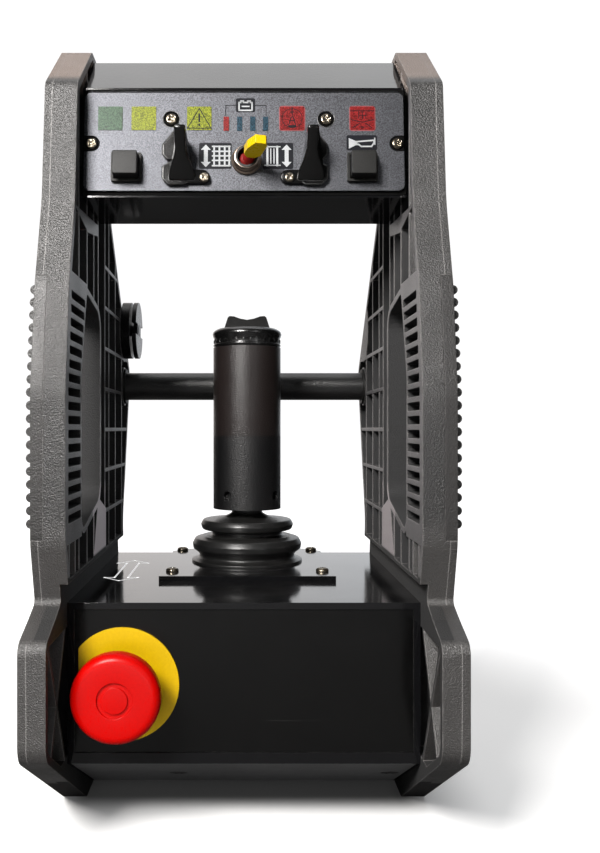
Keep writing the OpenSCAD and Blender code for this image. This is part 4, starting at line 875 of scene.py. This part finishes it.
def floor_finish(rgb):
    """Pale floor that glows towards white away from the box, with a faint mottle: near the box
    its glow is weaker and its colour darker, a painted shadow. The distance is measured from
    the edge of the rectangle that the box stands on."""
    material, s, surface = started("pale_floor")
    place = s.own_place()
    span = s.vectors("ABSOLUTE", s.vectors("SUBTRACT", place, FLOOR_REST)["Vector"])["Vector"]
    beyond = s.vectors("SUBTRACT", span, FLOOR_SHADE)["Vector"]
    outside = s.vectors("MAXIMUM", beyond, (0.0, 0.0, 0.0))["Vector"]
    distance = s.vectors("LENGTH", outside)["Value"]
    pale = s.mixed(s.noise(place, 60.0, 3.0, 0.5), opaque(rgb, 0.985), opaque(rgb, 1.015))
    # Painted shadow: the floor's colour darkens within 2 cm of the rectangle
    s.feed(surface["Base Color"], s.mixed(s.spread(distance, 0.0, 0.02), opaque(rgb, 0.22), pale))
    # Painted shadow: the glow is weak next to the box and grows towards white further away
    near = s.spread(distance, 0.0, 0.06, 0.012, 0.42)
    far = s.total(near, s.spread(distance, 0.12, 0.40, 0.0, 0.58))
    s.feed(surface["Emission Color"], s.mixed(far, opaque(WHITE, 0.0), opaque(WHITE)))
    surface["Emission Strength"].default_value = 1.0
    surface["Roughness"].default_value = 0.9
    surface["Specular IOR Level"].default_value = 0.1
    dim = s.node("ShaderNodeBsdfDiffuse", {"Color": opaque(FLOOR_RETURN)}).outputs[0]
    seen = s.tree.nodes["Principled BSDF"].outputs[0]
    s.feed(s.tree.nodes["Material Output"].inputs["Surface"], by_ray(s, dim, seen))
    return material


def area_light(name, place, target, size, power, tint, reflected):
    light = bpy.data.lights.new(name, "AREA")
    light.shape = "RECTANGLE"
    light.size, light.size_y = size
    light.energy = power
    light.color = tint
    made = bpy.data.objects.new(name, light)
    bpy.context.scene.collection.objects.link(made)
    made.location = place
    aim = np.asarray(target, float) - np.asarray(place, float)
    flat = math.hypot(aim[0], aim[1])
    made.rotation_euler = (math.atan2(flat, -aim[2]), 0.0, math.atan2(-aim[0], aim[1]))
    made.visible_glossy = reflected


class LIFTBOX_OT_stage(bpy.types.Operator):
    """Adds the camera, the lights, the bright room and the pale floor"""
    bl_idname = "liftbox.stage"
    bl_label = "Stage"

    def execute(self, context):
        backdrop_light()
        lens = bpy.data.cameras.new("Camera")
        lens.sensor_width = 36.0
        lens.lens = CAMERA_LENS
        lens.shift_x, lens.shift_y = CAMERA_SHIFT
        camera = bpy.data.objects.new("Camera", lens)
        context.scene.collection.objects.link(camera)
        camera.location = CAMERA_PLACE
        camera.rotation_euler = (math.pi / 2, 0.0, 0.0)
        context.scene.camera = camera
        context.scene.view_settings.view_transform = "Standard"
        for row in LIGHTS:
            area_light(*row)
        across, along = np.meshgrid(np.linspace(-2.4, 2.4, 41), np.linspace(-1.2, 3.0, 43))
        floor = np.stack([across, along, np.zeros_like(across)], -1)
        piece("pale_floor", [shell(floor[::-1], close_columns=False)],
              floor_finish(context.scene.box_colours.floor), None)
        return {"FINISHED"}


# Strokes and patches, given in millimetres

def bent_rows(rows, steps, closed=False):
    """Line through rows of across, up and the radius of the bend there."""
    rows = np.array(rows) * MM
    return bent(rows[:, :2], rows[:, 2], steps, closed)


def strokes(rows, top, where):
    """Shells of thin raised strokes from rows of centre, width, whether the lines close, and
    lines. Every two following points get a flat bar, longer by half its width at both ends."""
    made = []
    for centre, width, closed, lines in rows:
        for given in lines:
            line = (np.asarray(given, float) + centre) * MM
            ends = np.roll(line, -1, 0) if closed else line[1:]
            for start, end in zip(line, ends):
                along = unit(end - start) * width * MM / 2
                side = np.array([-along[1], along[0]])
                bar = [start - along - side, end + along - side, end + along + side,
                       start - along + side]
                made.append(plate_shell(bar, 0.0, top, where))
    return made


def patches(outlines, top, where):
    """Shells of thin raised patches on outlines that run anticlockwise."""
    return [plate_shell(np.asarray(line, float) * MM, 0.0, top, where) for line in outlines]


def double_arrow(x, y, half, reach):
    """Upright arrow with a head at both ends and a thin stem, as one outline."""
    head, stem = reach - half * 1.1, half * 0.4
    right = [(0, -reach), (half, -head), (stem, -head), (stem, head), (half, head), (0, reach)]
    left = [(-half, head), (-stem, head), (-stem, -head), (-half, -head)]
    return np.array(right + left) + (x, y)


# The box

class LIFTBOX_OT_cheeks(bpy.types.Operator):
    """Finishes the two side cheeks and their grip pads"""
    bl_idname = "liftbox.cheeks"
    bl_label = "Side cheeks"

    def execute(self, context):
        dress(("left_cheek", "right_cheek"), finish("cheek_plastic"),
              context.scene.box_sizes.cheek_edge)
        dress(("left_grip_pad", "right_grip_pad"), finish("pad_rubber"))
        return {"FINISHED"}


# Section of a bar collar from the bar's surface outwards, and the arrow on the lower case
COLLAR_SECTION = ((0.2, 0.0), (3.0, 0.0), (2.6, 1.6), (0.2, 1.6))
COLLAR_BEND = 0.0004
ARROW_PLACE = (-0.073, 0.020)
ARROW_STROKES = (((0.0, 0.0), 1.1, True, [double_arrow(0.0, 0.0, 10.0, 38.0)]),)


class LIFTBOX_OT_cases(bpy.types.Operator):
    """Finishes the two black cases, their plates, the crossbar and the cable gland"""
    bl_idname = "liftbox.cases"
    bl_label = "Cases"

    def execute(self, context):
        dress(("lower_case", "upper_case", "upper_rear_cover", "gate_plate"),
              finish("case_paint"))
        dress(("face_panel",), finish("panel_paint"))
        dress(("base_panel",), finish("base_paint"))
        dress(("crossbar",), finish("bar_paint"))
        dress(("cable_gland", "cable_gland_nut"), finish("gland_plastic"))
        dress(("lower_case_bolts", "upper_case_bolts", "crossbar_bolts"), finish("bolt_steel"))
        low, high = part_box("crossbar")
        centre = middle("crossbar")
        section = np.array(COLLAR_SECTION) * MM + ((high.z - low.z) / 2, 0.0)
        ring = turned(bent(section, COLLAR_BEND, 3, closed=True), 72)
        collars = []
        for x, way in ((low.x, 1), (high.x, -1)):
            where = seat((x, centre[1], centre[2]), (0, way, 0), (0, 0, 1))
            collars.append(shell(seated(ring, where), close_rows=True))
        piece("bar_collars", collars, finish("button_plastic"), "housing")
        low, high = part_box("lower_case")
        top = seat((*ARROW_PLACE, high.z), (1, 0, 0), (0, 1, 0))
        arrow = strokes(ARROW_STROKES, context.scene.box_sizes.print_thickness, top)
        piece("direction_arrow", arrow, finish("arrow_ink"), "housing")
        return {"FINISHED"}


class LIFTBOX_OT_inside(bpy.types.Operator):
    """Finishes the pieces inside the box and the grip"""
    bl_idname = "liftbox.inside"
    bl_label = "Inside"

    def execute(self, context):
        dress(("joystick_base", "stop_nut", "stop_contact_block"), finish("base_plastic"))
        dress(("thumb_switch", "selector_body", "trigger"), finish("switch_plastic"))
        dress(("tilt_pin", "rocker_pin", "trigger_pin", "joystick_shaft", "stop_stem"),
              finish("shaft_steel"))
        dress(("tilt_sensor_board", "control_board"), finish("board_green"))
        return {"FINISHED"}


# Marks round the cap, in turn one leaning one way and two the other: their number, outline
# and lean as shares of their size, and their level as a share of the cap's height
CAP_MARKS = 30
CAP_MARK = np.array([(-0.45, -1.05), (0.45, -1.05), (0.45, 1.05), (-0.45, 1.05)])
MARK_LEANS = (-0.6, 0.5, 0.5)
MARK_LEVEL = 0.33
MARK_FOOT, MARK_TOP, MARK_EDGE = -0.0002, 0.0004, 0.00015
CAP_INSET = 0.0010

# Outside of the boot between its foot and its neck: radius and level
BOOT_RINGS = ((31.2, 2.8), (30.4, 4.2), (31.8, 6.2), (34.9, 8.5), (35.3, 11.8), (33.5, 15.2),
              (29.0, 16.5), (23.8, 16.6), (21.6, 17.8), (23.2, 19.6), (29.0, 20.8), (30.0, 24.0),
              (28.4, 27.0), (23.0, 27.6), (15.0, 28.6))
BOOT_FOOT = 0.0014
BOOT_NECK = 0.0310
BOOT_BENDS = [0, .0005] + [.0016] * 14 + [.003, .002, 0]


def cap_marks(size):
    """Shells of the slanting marks that stand out round the grip's cap."""
    low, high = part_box("grip_cap")
    centre = middle("grip_cap")
    level = low.z + (high.z - low.z) * MARK_LEVEL
    band = (high.x - low.x) / 2 - CAP_INSET
    made = []
    for index, turn in enumerate(np.linspace(0, FULL_TURN, CAP_MARKS, endpoint=False)):
        x, y = math.cos(turn), math.sin(turn)
        where = seat((centre[0] + band * x, centre[1] + band * y, level), (-y, x, 0), (0, 0, 1))
        lean = np.sign(CAP_MARK[:, 1:]) * (MARK_LEANS[index % 3], 0.0)
        made.append(plate_shell((CAP_MARK + lean) * size, MARK_FOOT, MARK_TOP, where,
                                MARK_EDGE))
    return made


class LIFTBOX_OT_joystick(bpy.types.Operator):
    """Builds the rubber boot and finishes the grip, its cap and its rocker"""
    bl_idname = "liftbox.joystick"
    bl_label = "Joystick"

    def execute(self, context):
        sizes = context.scene.box_sizes
        dress(("joystick_grip",), finish("stick_plastic"))
        dress(("grip_cap",), finish("cap_gloss"), sizes.cap_edge)
        dress(("thumb_rocker",), finish("button_plastic"), sizes.rocker_edge)
        piece("cap_marks", cap_marks(sizes.cap_mark), finish("cap_gloss"), "joystick")
        low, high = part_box("joystick_boot")
        x, y = sizes.stick_shift, (low.y + high.y) / 2
        foot, neck = (high.x - low.x) / 2, sizes.shaft_radius + sizes.boot_wall
        outside = np.concatenate([[(foot, 0.0), (foot, BOOT_FOOT)], np.array(BOOT_RINGS) * MM,
                                  [(neck, BOOT_NECK), (neck, high.z - low.z)]])
        outline = bent(outside, BOOT_BENDS, 4)
        inside = outline[::-1] - [sizes.boot_wall, 0.0]
        inside[:, 0] = np.maximum(inside[:, 0], sizes.shaft_radius + 0.0001)
        grid = turned(np.concatenate([outline, inside]), 112) + [x, y, low.z]
        boot = piece("boot", [shell(grid, close_rows=True)], finish("boot_rubber"), "",
                     ("joystick_boot",), 50.0)
        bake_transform(boot)
        return {"FINISHED"}


# Half section of the stop's head from the middle of its face: share of the radius, share of
# the depth, and the bend there in metres
STOP_SECTION = ((0, 0, 0), (0.72, 0, .0008), (0.97, 0.30, .0015), (1, 0.48, .003),
                (1, 1, .0046), (0.39, 1, .0003), (0.39, 0.94, .0001), (0.29, 0.94, .0001),
                (0.29, 1, .0003), (0, 1, 0))


class LIFTBOX_OT_stop(bpy.types.Operator):
    """Builds the emergency stop's head and finishes its collar and yellow disc"""
    bl_idname = "liftbox.stop"
    bl_label = "Emergency stop"

    def execute(self, context):
        dress(("stop_legend",), finish("stop_yellow"))
        dress(("stop_collar",), finish("stop_black"))
        low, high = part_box("stop_head")
        centre = middle("stop_head")
        section = np.array(STOP_SECTION) * ((high.x - low.x) / 2, high.y - low.y, 1.0)
        profile = bent(section[:, :2], section[:, 2], 8)
        where = seat((centre[0], high.y, centre[2]), (1, 0, 0), (0, 0, 1))
        piece("stop_button", [shell(seated(turned(profile, 128), where))], finish("stop_red"),
              "stop_head", ("stop_head",), 60.0)
        return {"FINISHED"}


# Screws of the panel and the guards as shares of the panel's half size, the turn of each
# cross, and the screws of the base panel from the middle
PANEL_SCREWS = ((-0.454, 0.435), (0.514, 0.435), (-0.951, -0.055), (0.959, -0.055))
GUARD_SCREWS = ((-0.245, -0.775), (0.281, -0.775))
SCREW_TURNS = (0.5, 0.15, 0.9, 0.35)
BASE_SCREWS = (-0.036, 0.0801)
GUARD_TURN = 0.7
BASE_TURN = 0.8
GATE_INSET = 0.0038

# Radius and height of each kind of head, and radius and length of its shank
PANEL_HEAD = (0.0031, 0.0014, 0.0015, 0.006)
GUARD_HEAD = (0.0026, 0.0012, 0.0015, 0.006)
GATE_HEAD = (0.0038, 0.0022, 0.002, 0.012)
BASE_HEAD = (0.0049, 0.0003, 0.0025, 0.006)


def screws(rows, size, recess):
    """Shells of screw heads at (seat, turn) rows, each with its shank."""
    radius, height, shank, reach = size
    rod = turned([(0, 0.0001), (shank, 0.0001), (shank, -reach), (0, -reach)], 24)
    made = []
    for where, turn in rows:
        made.append(shell(seated(screw_head(radius, height, recess, turn), where)))
        made.append(shell(seated(rod, where)))
    return made


class LIFTBOX_OT_screws(bpy.types.Operator):
    """Builds the cross-headed screws of the panel, its guards, the gate plate and the base"""
    bl_idname = "liftbox.screws"
    bl_label = "Screws"

    def execute(self, context):
        sizes = context.scene.box_sizes
        face = panel_seat(sizes)
        low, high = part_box("control_panel")
        half = np.array([(high.x - low.x) / 2, sizes.panel_height / 2, 0.0])
        rows = [(moved(face, half * (x, y, 0) - (0, 0, sizes.screw_sunk)), turn)
                for (x, y), turn in zip(PANEL_SCREWS, SCREW_TURNS)]
        heads = screws(rows, PANEL_HEAD, sizes.screw_recess)
        rows = [(moved(face, half * (x, y, 0) + (0, 0, sizes.guard_foot)), GUARD_TURN)
                for x, y in GUARD_SCREWS]
        heads += screws(rows, GUARD_HEAD, sizes.screw_recess)
        piece("panel_screw_heads", heads, finish("bright_steel"), "housing",
              ("panel_screws",), 50.0)
        low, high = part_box("gate_screws")
        places = [(x, y, high.z - GATE_HEAD[1])
                  for y in (low.y + GATE_INSET, high.y - GATE_INSET)
                  for x in (low.x + GATE_INSET, high.x - GATE_INSET)]
        rows = [(seat(place, (1, 0, 0), (0, 1, 0)), turn)
                for place, turn in zip(places, SCREW_TURNS)]
        piece("plate_screw_heads", screws(rows, GATE_HEAD, sizes.plate_recess),
              finish("bright_steel"), "housing", ("gate_screws",), 50.0)
        rows = [(moved(slope_seat(sizes), (x, 0.0, 0.0)), BASE_TURN) for x in BASE_SCREWS]
        piece("base_screw_heads", screws(rows, BASE_HEAD, sizes.plate_recess),
              finish("bolt_steel"), "housing", ("base_screws",), 50.0)
        return {"FINISHED"}


# The border: how far it stays inside the panel, its corners outside and inside, and its
# share above and below. The dark strip, painted shade laid on the case round the panel:
# how far it reaches past the panel, and its corners
BORDER_INSET = 0.0001
BORDER_CORNERS = (0.0039, 0.0034)
BORDER_ABOVE, BORDER_BELOW = 1.6, 0.3
SHADE_STRIP_REACH = (0.0019, 0.0036)
SHADE_STRIP_CORNERS = (0.0020, 0.0040)

# Section of the rim of a screw recess, from the recess outwards
RIM_SECTION = ((0.0, -0.3), (0.4, -0.3), (0.3, 0.2), (0.0, 0.15))
RIM_BEND = 0.00005

LENSES = {"green_lens": "lens_green", "lime_lenses": "lens_lime", "red_lenses": "lens_red",
          "charge_bars": "bar_teal"}


def side_recess(x, y, radius, edge):
    """Recess that opens to the panel's side: half a circle, and two corners at the edge."""
    turn = np.linspace(-math.pi / 2, math.pi / 2, 25) + (math.pi if x > 0 else 0.0)
    end = np.stack([x + radius * np.cos(turn), y + radius * np.sin(turn)], -1)
    return np.concatenate([[(edge, end[0, 1])], end, [(edge, end[-1, 1])]])


class LIFTBOX_OT_panel(bpy.types.Operator):
    """Finishes the grey panel with its windows, and adds its dark border and screw rings"""
    bl_idname = "liftbox.panel"
    bl_label = "Control panel"

    def execute(self, context):
        sizes = context.scene.box_sizes
        dress(("control_panel",), finish("panel_grey"))
        for node, film in LENSES.items():
            dress((node,), finish(film))
        face = panel_seat(sizes)
        low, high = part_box("control_panel")
        width, height = high.x - low.x, sizes.panel_height
        proud, line = sizes.print_thickness, sizes.frame_line
        outer = oblong(width - 2 * BORDER_INSET, height - 2 * BORDER_INSET,
                       BORDER_CORNERS[0], steps=8)
        inner = oblong(width - line, height - (BORDER_ABOVE + BORDER_BELOW) * line,
                       BORDER_CORNERS[1], (0.0, (BORDER_BELOW - BORDER_ABOVE) / 2 * line), 8)
        dark = [ring_shell(outer, inner, 0.0, proud, face)]
        radius, sunk = sizes.recess_radius - RIM_BEND, -sizes.screw_sunk
        section = np.array(RIM_SECTION) * MM + (radius, 0.0)
        rim = turned(bent(section, RIM_BEND, 2, closed=True), 48)
        rims = []
        for share_x, share_y in PANEL_SCREWS:
            x, y = share_x * width / 2, share_y * height / 2
            edge = math.copysign(width / 2 - BORDER_INSET, x)
            if abs(edge - x) < 2 * radius:
                outline = side_recess(x, y, radius, edge)
            else:
                outline = circle(radius, 48, (x, y))
                rims.append(shell(seated(rim, moved(face, (x, y, 0))), close_rows=True))
            dark.append(plate_shell(outline, sunk, sunk + proud, face))
        # Painted shade: the dark strip round the panel, laid over the case so that it shows no
        # reflection
        outer = oblong(width + SHADE_STRIP_REACH[0], height + SHADE_STRIP_REACH[1],
                       SHADE_STRIP_CORNERS[0], steps=8)
        inner = oblong(width, height, SHADE_STRIP_CORNERS[1], steps=8)
        behind = -sizes.panel_thickness
        dark.append(ring_shell(outer, inner, behind, behind + sizes.shade_strip, face))
        piece("panel_border", dark, finish("dark_gap"), "housing")
        piece("recess_rims", rims, finish("bolt_steel"), "housing")
        return {"FINISHED"}


# What is printed, with the middles of the two red windows. Strokes are rows of centre,
# width, whether the lines close, and lines
LENS_SIZE = 13.0
LENS_EDGE = 0.9
MIDDLE = (0.0, 0.0)
LEFT_RED = (25.65, 12.32)
RIGHT_RED = (62.95, 12.32)
SIGN_BOXES = (((-15.15, -8.4), (17.3, 14.3)), ((17.95, -8.4), (16.3, 14.3)),
              ((62.5, -1.15), (16.2, 8.3)), ((0.85, 19.7), (10.3, 7.7)))
GAUGE_LINES = (
    (MIDDLE, 0.4, False, [[(-9.7, 14.0), (-9.7, 19.6), (-4.2, 19.6)],
                          [(5.8, 19.6), (11.8, 19.6), (11.8, 14.0)]]),
)
WINDOW_LINES = (
    (MIDDLE, 0.45, True, [[(-30.0, 6.8), (-17.5, 6.8), (-23.75, 17.8)]]),
    (MIDDLE, 0.9, False, [[(-23.75, 14.4), (-23.75, 10.6)], [(-23.75, 8.9), (-23.75, 8.6)]]),
    (LEFT_RED, 0.3, True, [circle(5.3, 28)]),
    (LEFT_RED, 0.45, False, [[(0.0, 5.8), (0.0, 0.6)], [(-0.9, 3.4), (0.9, 3.4)],
                             [(-0.5, 0.6), (-1.8, -3.6)], [(0.5, 0.6), (1.8, -3.6)],
                             [(-1.2, -1.2), (1.2, -1.2)]]),
    (LEFT_RED, 1.1, False, [[(-1.6, -4.4), (1.6, -4.4)]]),
    (RIGHT_RED, 0.4, False, [[(-6.2, 4.1), (6.2, 4.1)], [(-1.9, 3.2), (-1.9, 0.0)],
                             [(1.9, 3.2), (1.9, 0.0)], [(-1.9, 1.4), (1.9, 1.4)],
                             [(0.0, 3.4), (0.0, -0.4)],
                             [(-6.0, -0.8), (0.0, -2.2), (6.0, -0.8)],
                             [(-5.2, -5.4), (-1.6, -2.8)], [(5.2, -5.4), (1.6, -2.8)],
                             [(-1.6, -4.9), (1.6, -4.9)]]),
)
WHITE_PATCHES = (double_arrow(-20.2, -8.4, 2.6, 6.2), double_arrow(22.6, -8.4, 2.6, 6.2),
                 [(55.6, -4.4), (59.8, -2.3), (59.8, -0.4), (55.6, 1.4)])
BATTERY = [(-2.6, 16.8), (4.3, 16.8), (4.3, 21.2), (3.4, 21.2), (3.4, 22.0), (2.0, 22.0),
           (2.0, 21.2), (-0.3, 21.2), (-0.3, 22.0), (-1.7, 22.0), (-1.7, 21.2), (-2.6, 21.2)]
HORN = [(59.8, -0.6), (69.0, 0.2), (69.0, -1.2), (67.6, -3.2), (62.2, -3.2), (60.8, -2.1),
        (59.8, -2.1)]
WHITE_LINES = (
    (MIDDLE, 0.9, False, [[(x, -13.8), (x, -3.2)] for x in (-15.8, -13.0, -10.2, -7.8)]),
    (MIDDLE, 0.8, False, [[(-16.6, y), (-7.5, y)] for y in (-3.2, -5.9, -8.4, -10.9, -13.8)]),
    (MIDDLE, 1.1, False, [[(12.4, -13.6), (12.4, -3.4)], [(17.6, -13.6), (17.6, -3.4)]]),
    (MIDDLE, 0.6, False, [[(10.9, -3.4), (19.1, -3.4)], [(10.9, -13.6), (19.1, -13.6)],
                          [(14.2, -4.6), (14.2, -12.4)], [(15.9, -4.6), (15.9, -12.4)],
                          [(69.4, 1.3), (69.4, -2.0)]]),
    (MIDDLE, 0.8, True, [BATTERY, HORN]),
    (MIDDLE, 0.7, False, [[(-0.9, 19.0), (2.6, 19.0)]]),
)
GAUGE_MARK = [(-10.9, 5.4), (-8.0, 5.4), (-8.0, 13.2), (-10.9, 13.2)]


class LIFTBOX_OT_prints(bpy.types.Operator):
    """Prints the signs on the panel: dark boxes, white pictures and the lines on the windows"""
    bl_idname = "liftbox.prints"
    bl_label = "Printed signs"

    def execute(self, context):
        sizes = context.scene.box_sizes
        face = panel_seat(sizes)
        glass = moved(face, (0.0, 0.0, sizes.lens_proud))
        one, two = sizes.print_thickness, sizes.print_thickness * 2
        dark = patches([oblong(*size, 0.9, spot) for spot, size in SIGN_BOXES], one, face)
        dark += strokes(GAUGE_LINES, one, face) + strokes(WINDOW_LINES, one, glass)
        piece("dark_prints", dark, finish("dark_ink"), "housing")
        white = patches(WHITE_PATCHES, two, face) + strokes(WHITE_LINES, two, face)
        piece("white_prints", white, finish("white_ink"), "housing")
        piece("red_gauge_mark", patches([GAUGE_MARK], one, glass), finish("lens_red"),
              "housing")
        edges = []
        for spot in (LEFT_RED, RIGHT_RED):
            outer = oblong(LENS_SIZE + LENS_EDGE, LENS_SIZE + LENS_EDGE, 1.6, spot) * MM
            inner = oblong(LENS_SIZE, LENS_SIZE, 0.3, spot) * MM
            edges.append(ring_shell(outer, inner, 0.0, two, face))
        piece("window_edges", edges, finish("pink_line"), "housing")
        return {"FINISHED"}


# Guards: side, place on the panel, which way the foot turns, and how far the fin stands aside
GUARDS = (("left", -35.02, 1, 2.4), ("right", 36.04, -1, 0.9))

# Side of a fin, up the panel and out of it, with its bends, and where it widens towards its
# lower end
FIN_SIDE = ((0.4, 0.0, 0.0), (0.2, 13.0, 3.0), (-1.0, 21.9, 0.9), (-3.2, 21.7, 1.4),
            (-14.0, 12.0, 5.0), (-22.9, 3.0, 1.0), (-23.4, 0.0, 0.0))
FIN_HALF = 2.9
FIN_EDGE = 0.0011
FIN_WIDENING = 4.0
FLARE_FROM = -11.0
FLARE_RUN = 10.5

# The two lobes of a guard's foot, and the size with corners and the place of the arm beside
# them, in millimetres. Bends and rounded edges are in metres
LOBES = (((-7.3, -3.6), (-7.3, -8.4), (-5.2, -10.6), (2.5, -10.6), (2.5, 4.0), (-1.4, 4.0)),
         ((-2.8, -12.9), (-7.4, -15.6), (-7.4, -21.6), (-4.6, -24.2), (4.6, -24.2),
          (4.6, -12.9)))
LOBE_CORNER, LOBE_EDGE = 0.0014, 0.0009
ARM_SIZE = (16.6, 7.4, 3.6)
ARM_PLACE = (8.6, -20.5)
ARM_EDGE = 0.0007

# Height of a button's top, its height for its width and its corners, then the section of
# the selector's ring and the half section of its seal
BUTTON_TOP = 0.0089
BUTTON_SHARE = 0.97
BUTTON_CORNER = 0.0010
RING_BEND = 0.0002
RING_SECTION = ((6.2, 0.0), (8.0, 0.0), (8.0, 1.5), (7.0, 2.1), (7.1, 2.6), (7.1, 3.6),
                (6.4, 4.2), (6.6, 4.7), (6.4, 5.6), (5.2, 5.8), (4.7, 5.2), (4.7, 1.2),
                (6.2, 1.2))
SEAL_SECTION = ((0.0, 4.6, 0.0), (1.9, 4.4, 0.4), (2.7, 4.0, 0.3), (3.1, 3.3, 0.3),
                (3.4, 3.1, 0.1), (3.7, 2.7, 0.3), (3.8, 2.1, 0.1), (0.0, 1.9, 0.0))
SELECTOR_PLACE = (0.0013, -0.0110, 0.0)


def guard_fin(place_x, profile, half, edge, steps):
    """Fin between two sides: the outline of (up, out) pairs, with a half-width at each point,
    goes from one side to the other and moves in by edge (1 - cos t) near both."""
    angle = np.linspace(-math.pi / 2, math.pi / 2, steps)[:, None]
    across = place_x + (half - edge) * np.sign(angle) + edge * np.sin(angle)
    flat = profile - outward(profile) * (edge * (1 - np.cos(angle)))[..., None]
    return np.concatenate([across[..., None], flat], -1)


def guard_shells(x, way, shift, foot, face):
    """Shells of a guard: its fin, which widens by a smooth step, and its foot."""
    side = evenly(bent_rows(FIN_SIDE, 4), 72)
    flare = np.clip((FLARE_FROM - side[:, 0] / MM) / FLARE_RUN, 0, 1)
    half = (FIN_HALF + FIN_WIDENING * flare * flare * (3 - 2 * flare)) * MM
    fin = guard_fin((x + way * shift) * MM, side, half, FIN_EDGE, 10)
    made = [shell(seated(fin, face), caps=True)]
    for lobe in LOBES:
        corners = (np.array(lobe) * (way, 1.0) + (x, 0.0))[::-way] * MM
        plate = bent(corners, LOBE_CORNER, 5, closed=True)
        made.append(plate_shell(plate, 0.0, foot, face, LOBE_EDGE))
    arm = oblong(*ARM_SIZE, (x + way * ARM_PLACE[0], ARM_PLACE[1]), 8) * MM
    made.append(plate_shell(arm, 0.0, foot, face, ARM_EDGE))
    return made


def button_top(node, face):
    """Shell of a push-button's top: its outline shrinks towards its middle as far as the side's
    profile has moved in, and rises with it."""
    low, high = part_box(node)
    width = high.x - low.x
    across = (middle(node) - face[0]) @ face[1].T
    side = bent([(0.0, -0.0005), (0.0, BUTTON_TOP - 0.0003), (0.0003, BUTTON_TOP),
                 (width * 0.5, BUTTON_TOP)], [0, .0004, .0003, 0], 4)[:-1]
    outline = oblong(width, width * BUTTON_SHARE, BUTTON_CORNER, steps=5)
    rows = outline[None] * (1 - side[:, :1, None] / (width / 2))
    where = moved(face, (across[0], across[1], 0))
    return shell(seated(at_levels(rows, side[:, 1]), where), caps=True)


class LIFTBOX_OT_switches(bpy.types.Operator):
    """Builds the fin guards, the two push-buttons and the toggle selector"""
    bl_idname = "liftbox.switches"
    bl_label = "Switches"

    def execute(self, context):
        sizes = context.scene.box_sizes
        face = panel_seat(sizes)
        for side, x, way, shift in GUARDS:
            piece(f"{side}_fin_guard", guard_shells(x, way, shift, sizes.guard_foot, face),
                  finish("guard_plastic"), "housing",
                  (f"{side}_switch_guard",), 50.0)
        for side in ("left", "right"):
            node = f"{side}_button_cap"
            piece(f"{side}_button_top", [button_top(node, face)], finish("button_plastic"),
                  f"{side}_button", (node,), 50.0)
            dress((f"{side}_button_body",), finish("button_plastic"))
        where = moved(face, SELECTOR_PLACE)
        ring = turned(bent(np.array(RING_SECTION) * MM, RING_BEND, 3, closed=True), 72)
        piece("selector_ring", [shell(seated(ring, where), close_rows=True)], finish("chrome"),
              "housing", ("selector_nut",), 50.0)
        seal = turned(bent_rows(SEAL_SECTION, 3), 56)
        piece("selector_seal", [shell(seated(seal, where))], finish("selector_red"),
              "selector")
        dress(("selector_boot",), finish("selector_red"))
        dress(("selector_lever",), finish("selector_yellow"))
        return {"FINISHED"}


class LIFTBOX_OT_latch(bpy.types.Operator):
    """Finishes the latch at the left rear"""
    bl_idname = "liftbox.latch"
    bl_label = "Latch"

    def execute(self, context):
        dress(("latch_barrel", "latch_knob"), finish("latch_plastic"))
        return {"FINISHED"}


STEPS = (LIFTBOX_OT_stage, LIFTBOX_OT_cheeks, LIFTBOX_OT_cases, LIFTBOX_OT_inside,
         LIFTBOX_OT_joystick, LIFTBOX_OT_stop, LIFTBOX_OT_screws, LIFTBOX_OT_panel,
         LIFTBOX_OT_prints, LIFTBOX_OT_switches, LIFTBOX_OT_latch)


class LIFTBOX_PT_steps(bpy.types.Panel):
    """Lists the steps that dress the box"""
    bl_label = "Lift control box"
    bl_idname = "LIFTBOX_PT_steps"
    bl_space_type = "VIEW_3D"
    bl_region_type = "UI"
    bl_category = "Lift box"

    def draw(self, context):
        for step in STEPS:
            self.layout.operator(step.bl_idname)


CLASSES = (BoxSizes, BoxColours) + STEPS + (LIFTBOX_PT_steps,)


def register():
    for entry in CLASSES:
        bpy.utils.register_class(entry)
    bpy.types.Scene.box_sizes = bpy.props.PointerProperty(type=BoxSizes)
    bpy.types.Scene.box_colours = bpy.props.PointerProperty(type=BoxColours)


def unregister():
    del bpy.types.Scene.box_colours
    del bpy.types.Scene.box_sizes
    for entry in reversed(CLASSES):
        bpy.utils.unregister_class(entry)


def main():
    register()
    for step in STEPS:
        group, name = step.bl_idname.split(".")
        getattr(getattr(bpy.ops, group), name)()


if __name__ == "__main__":
    main()
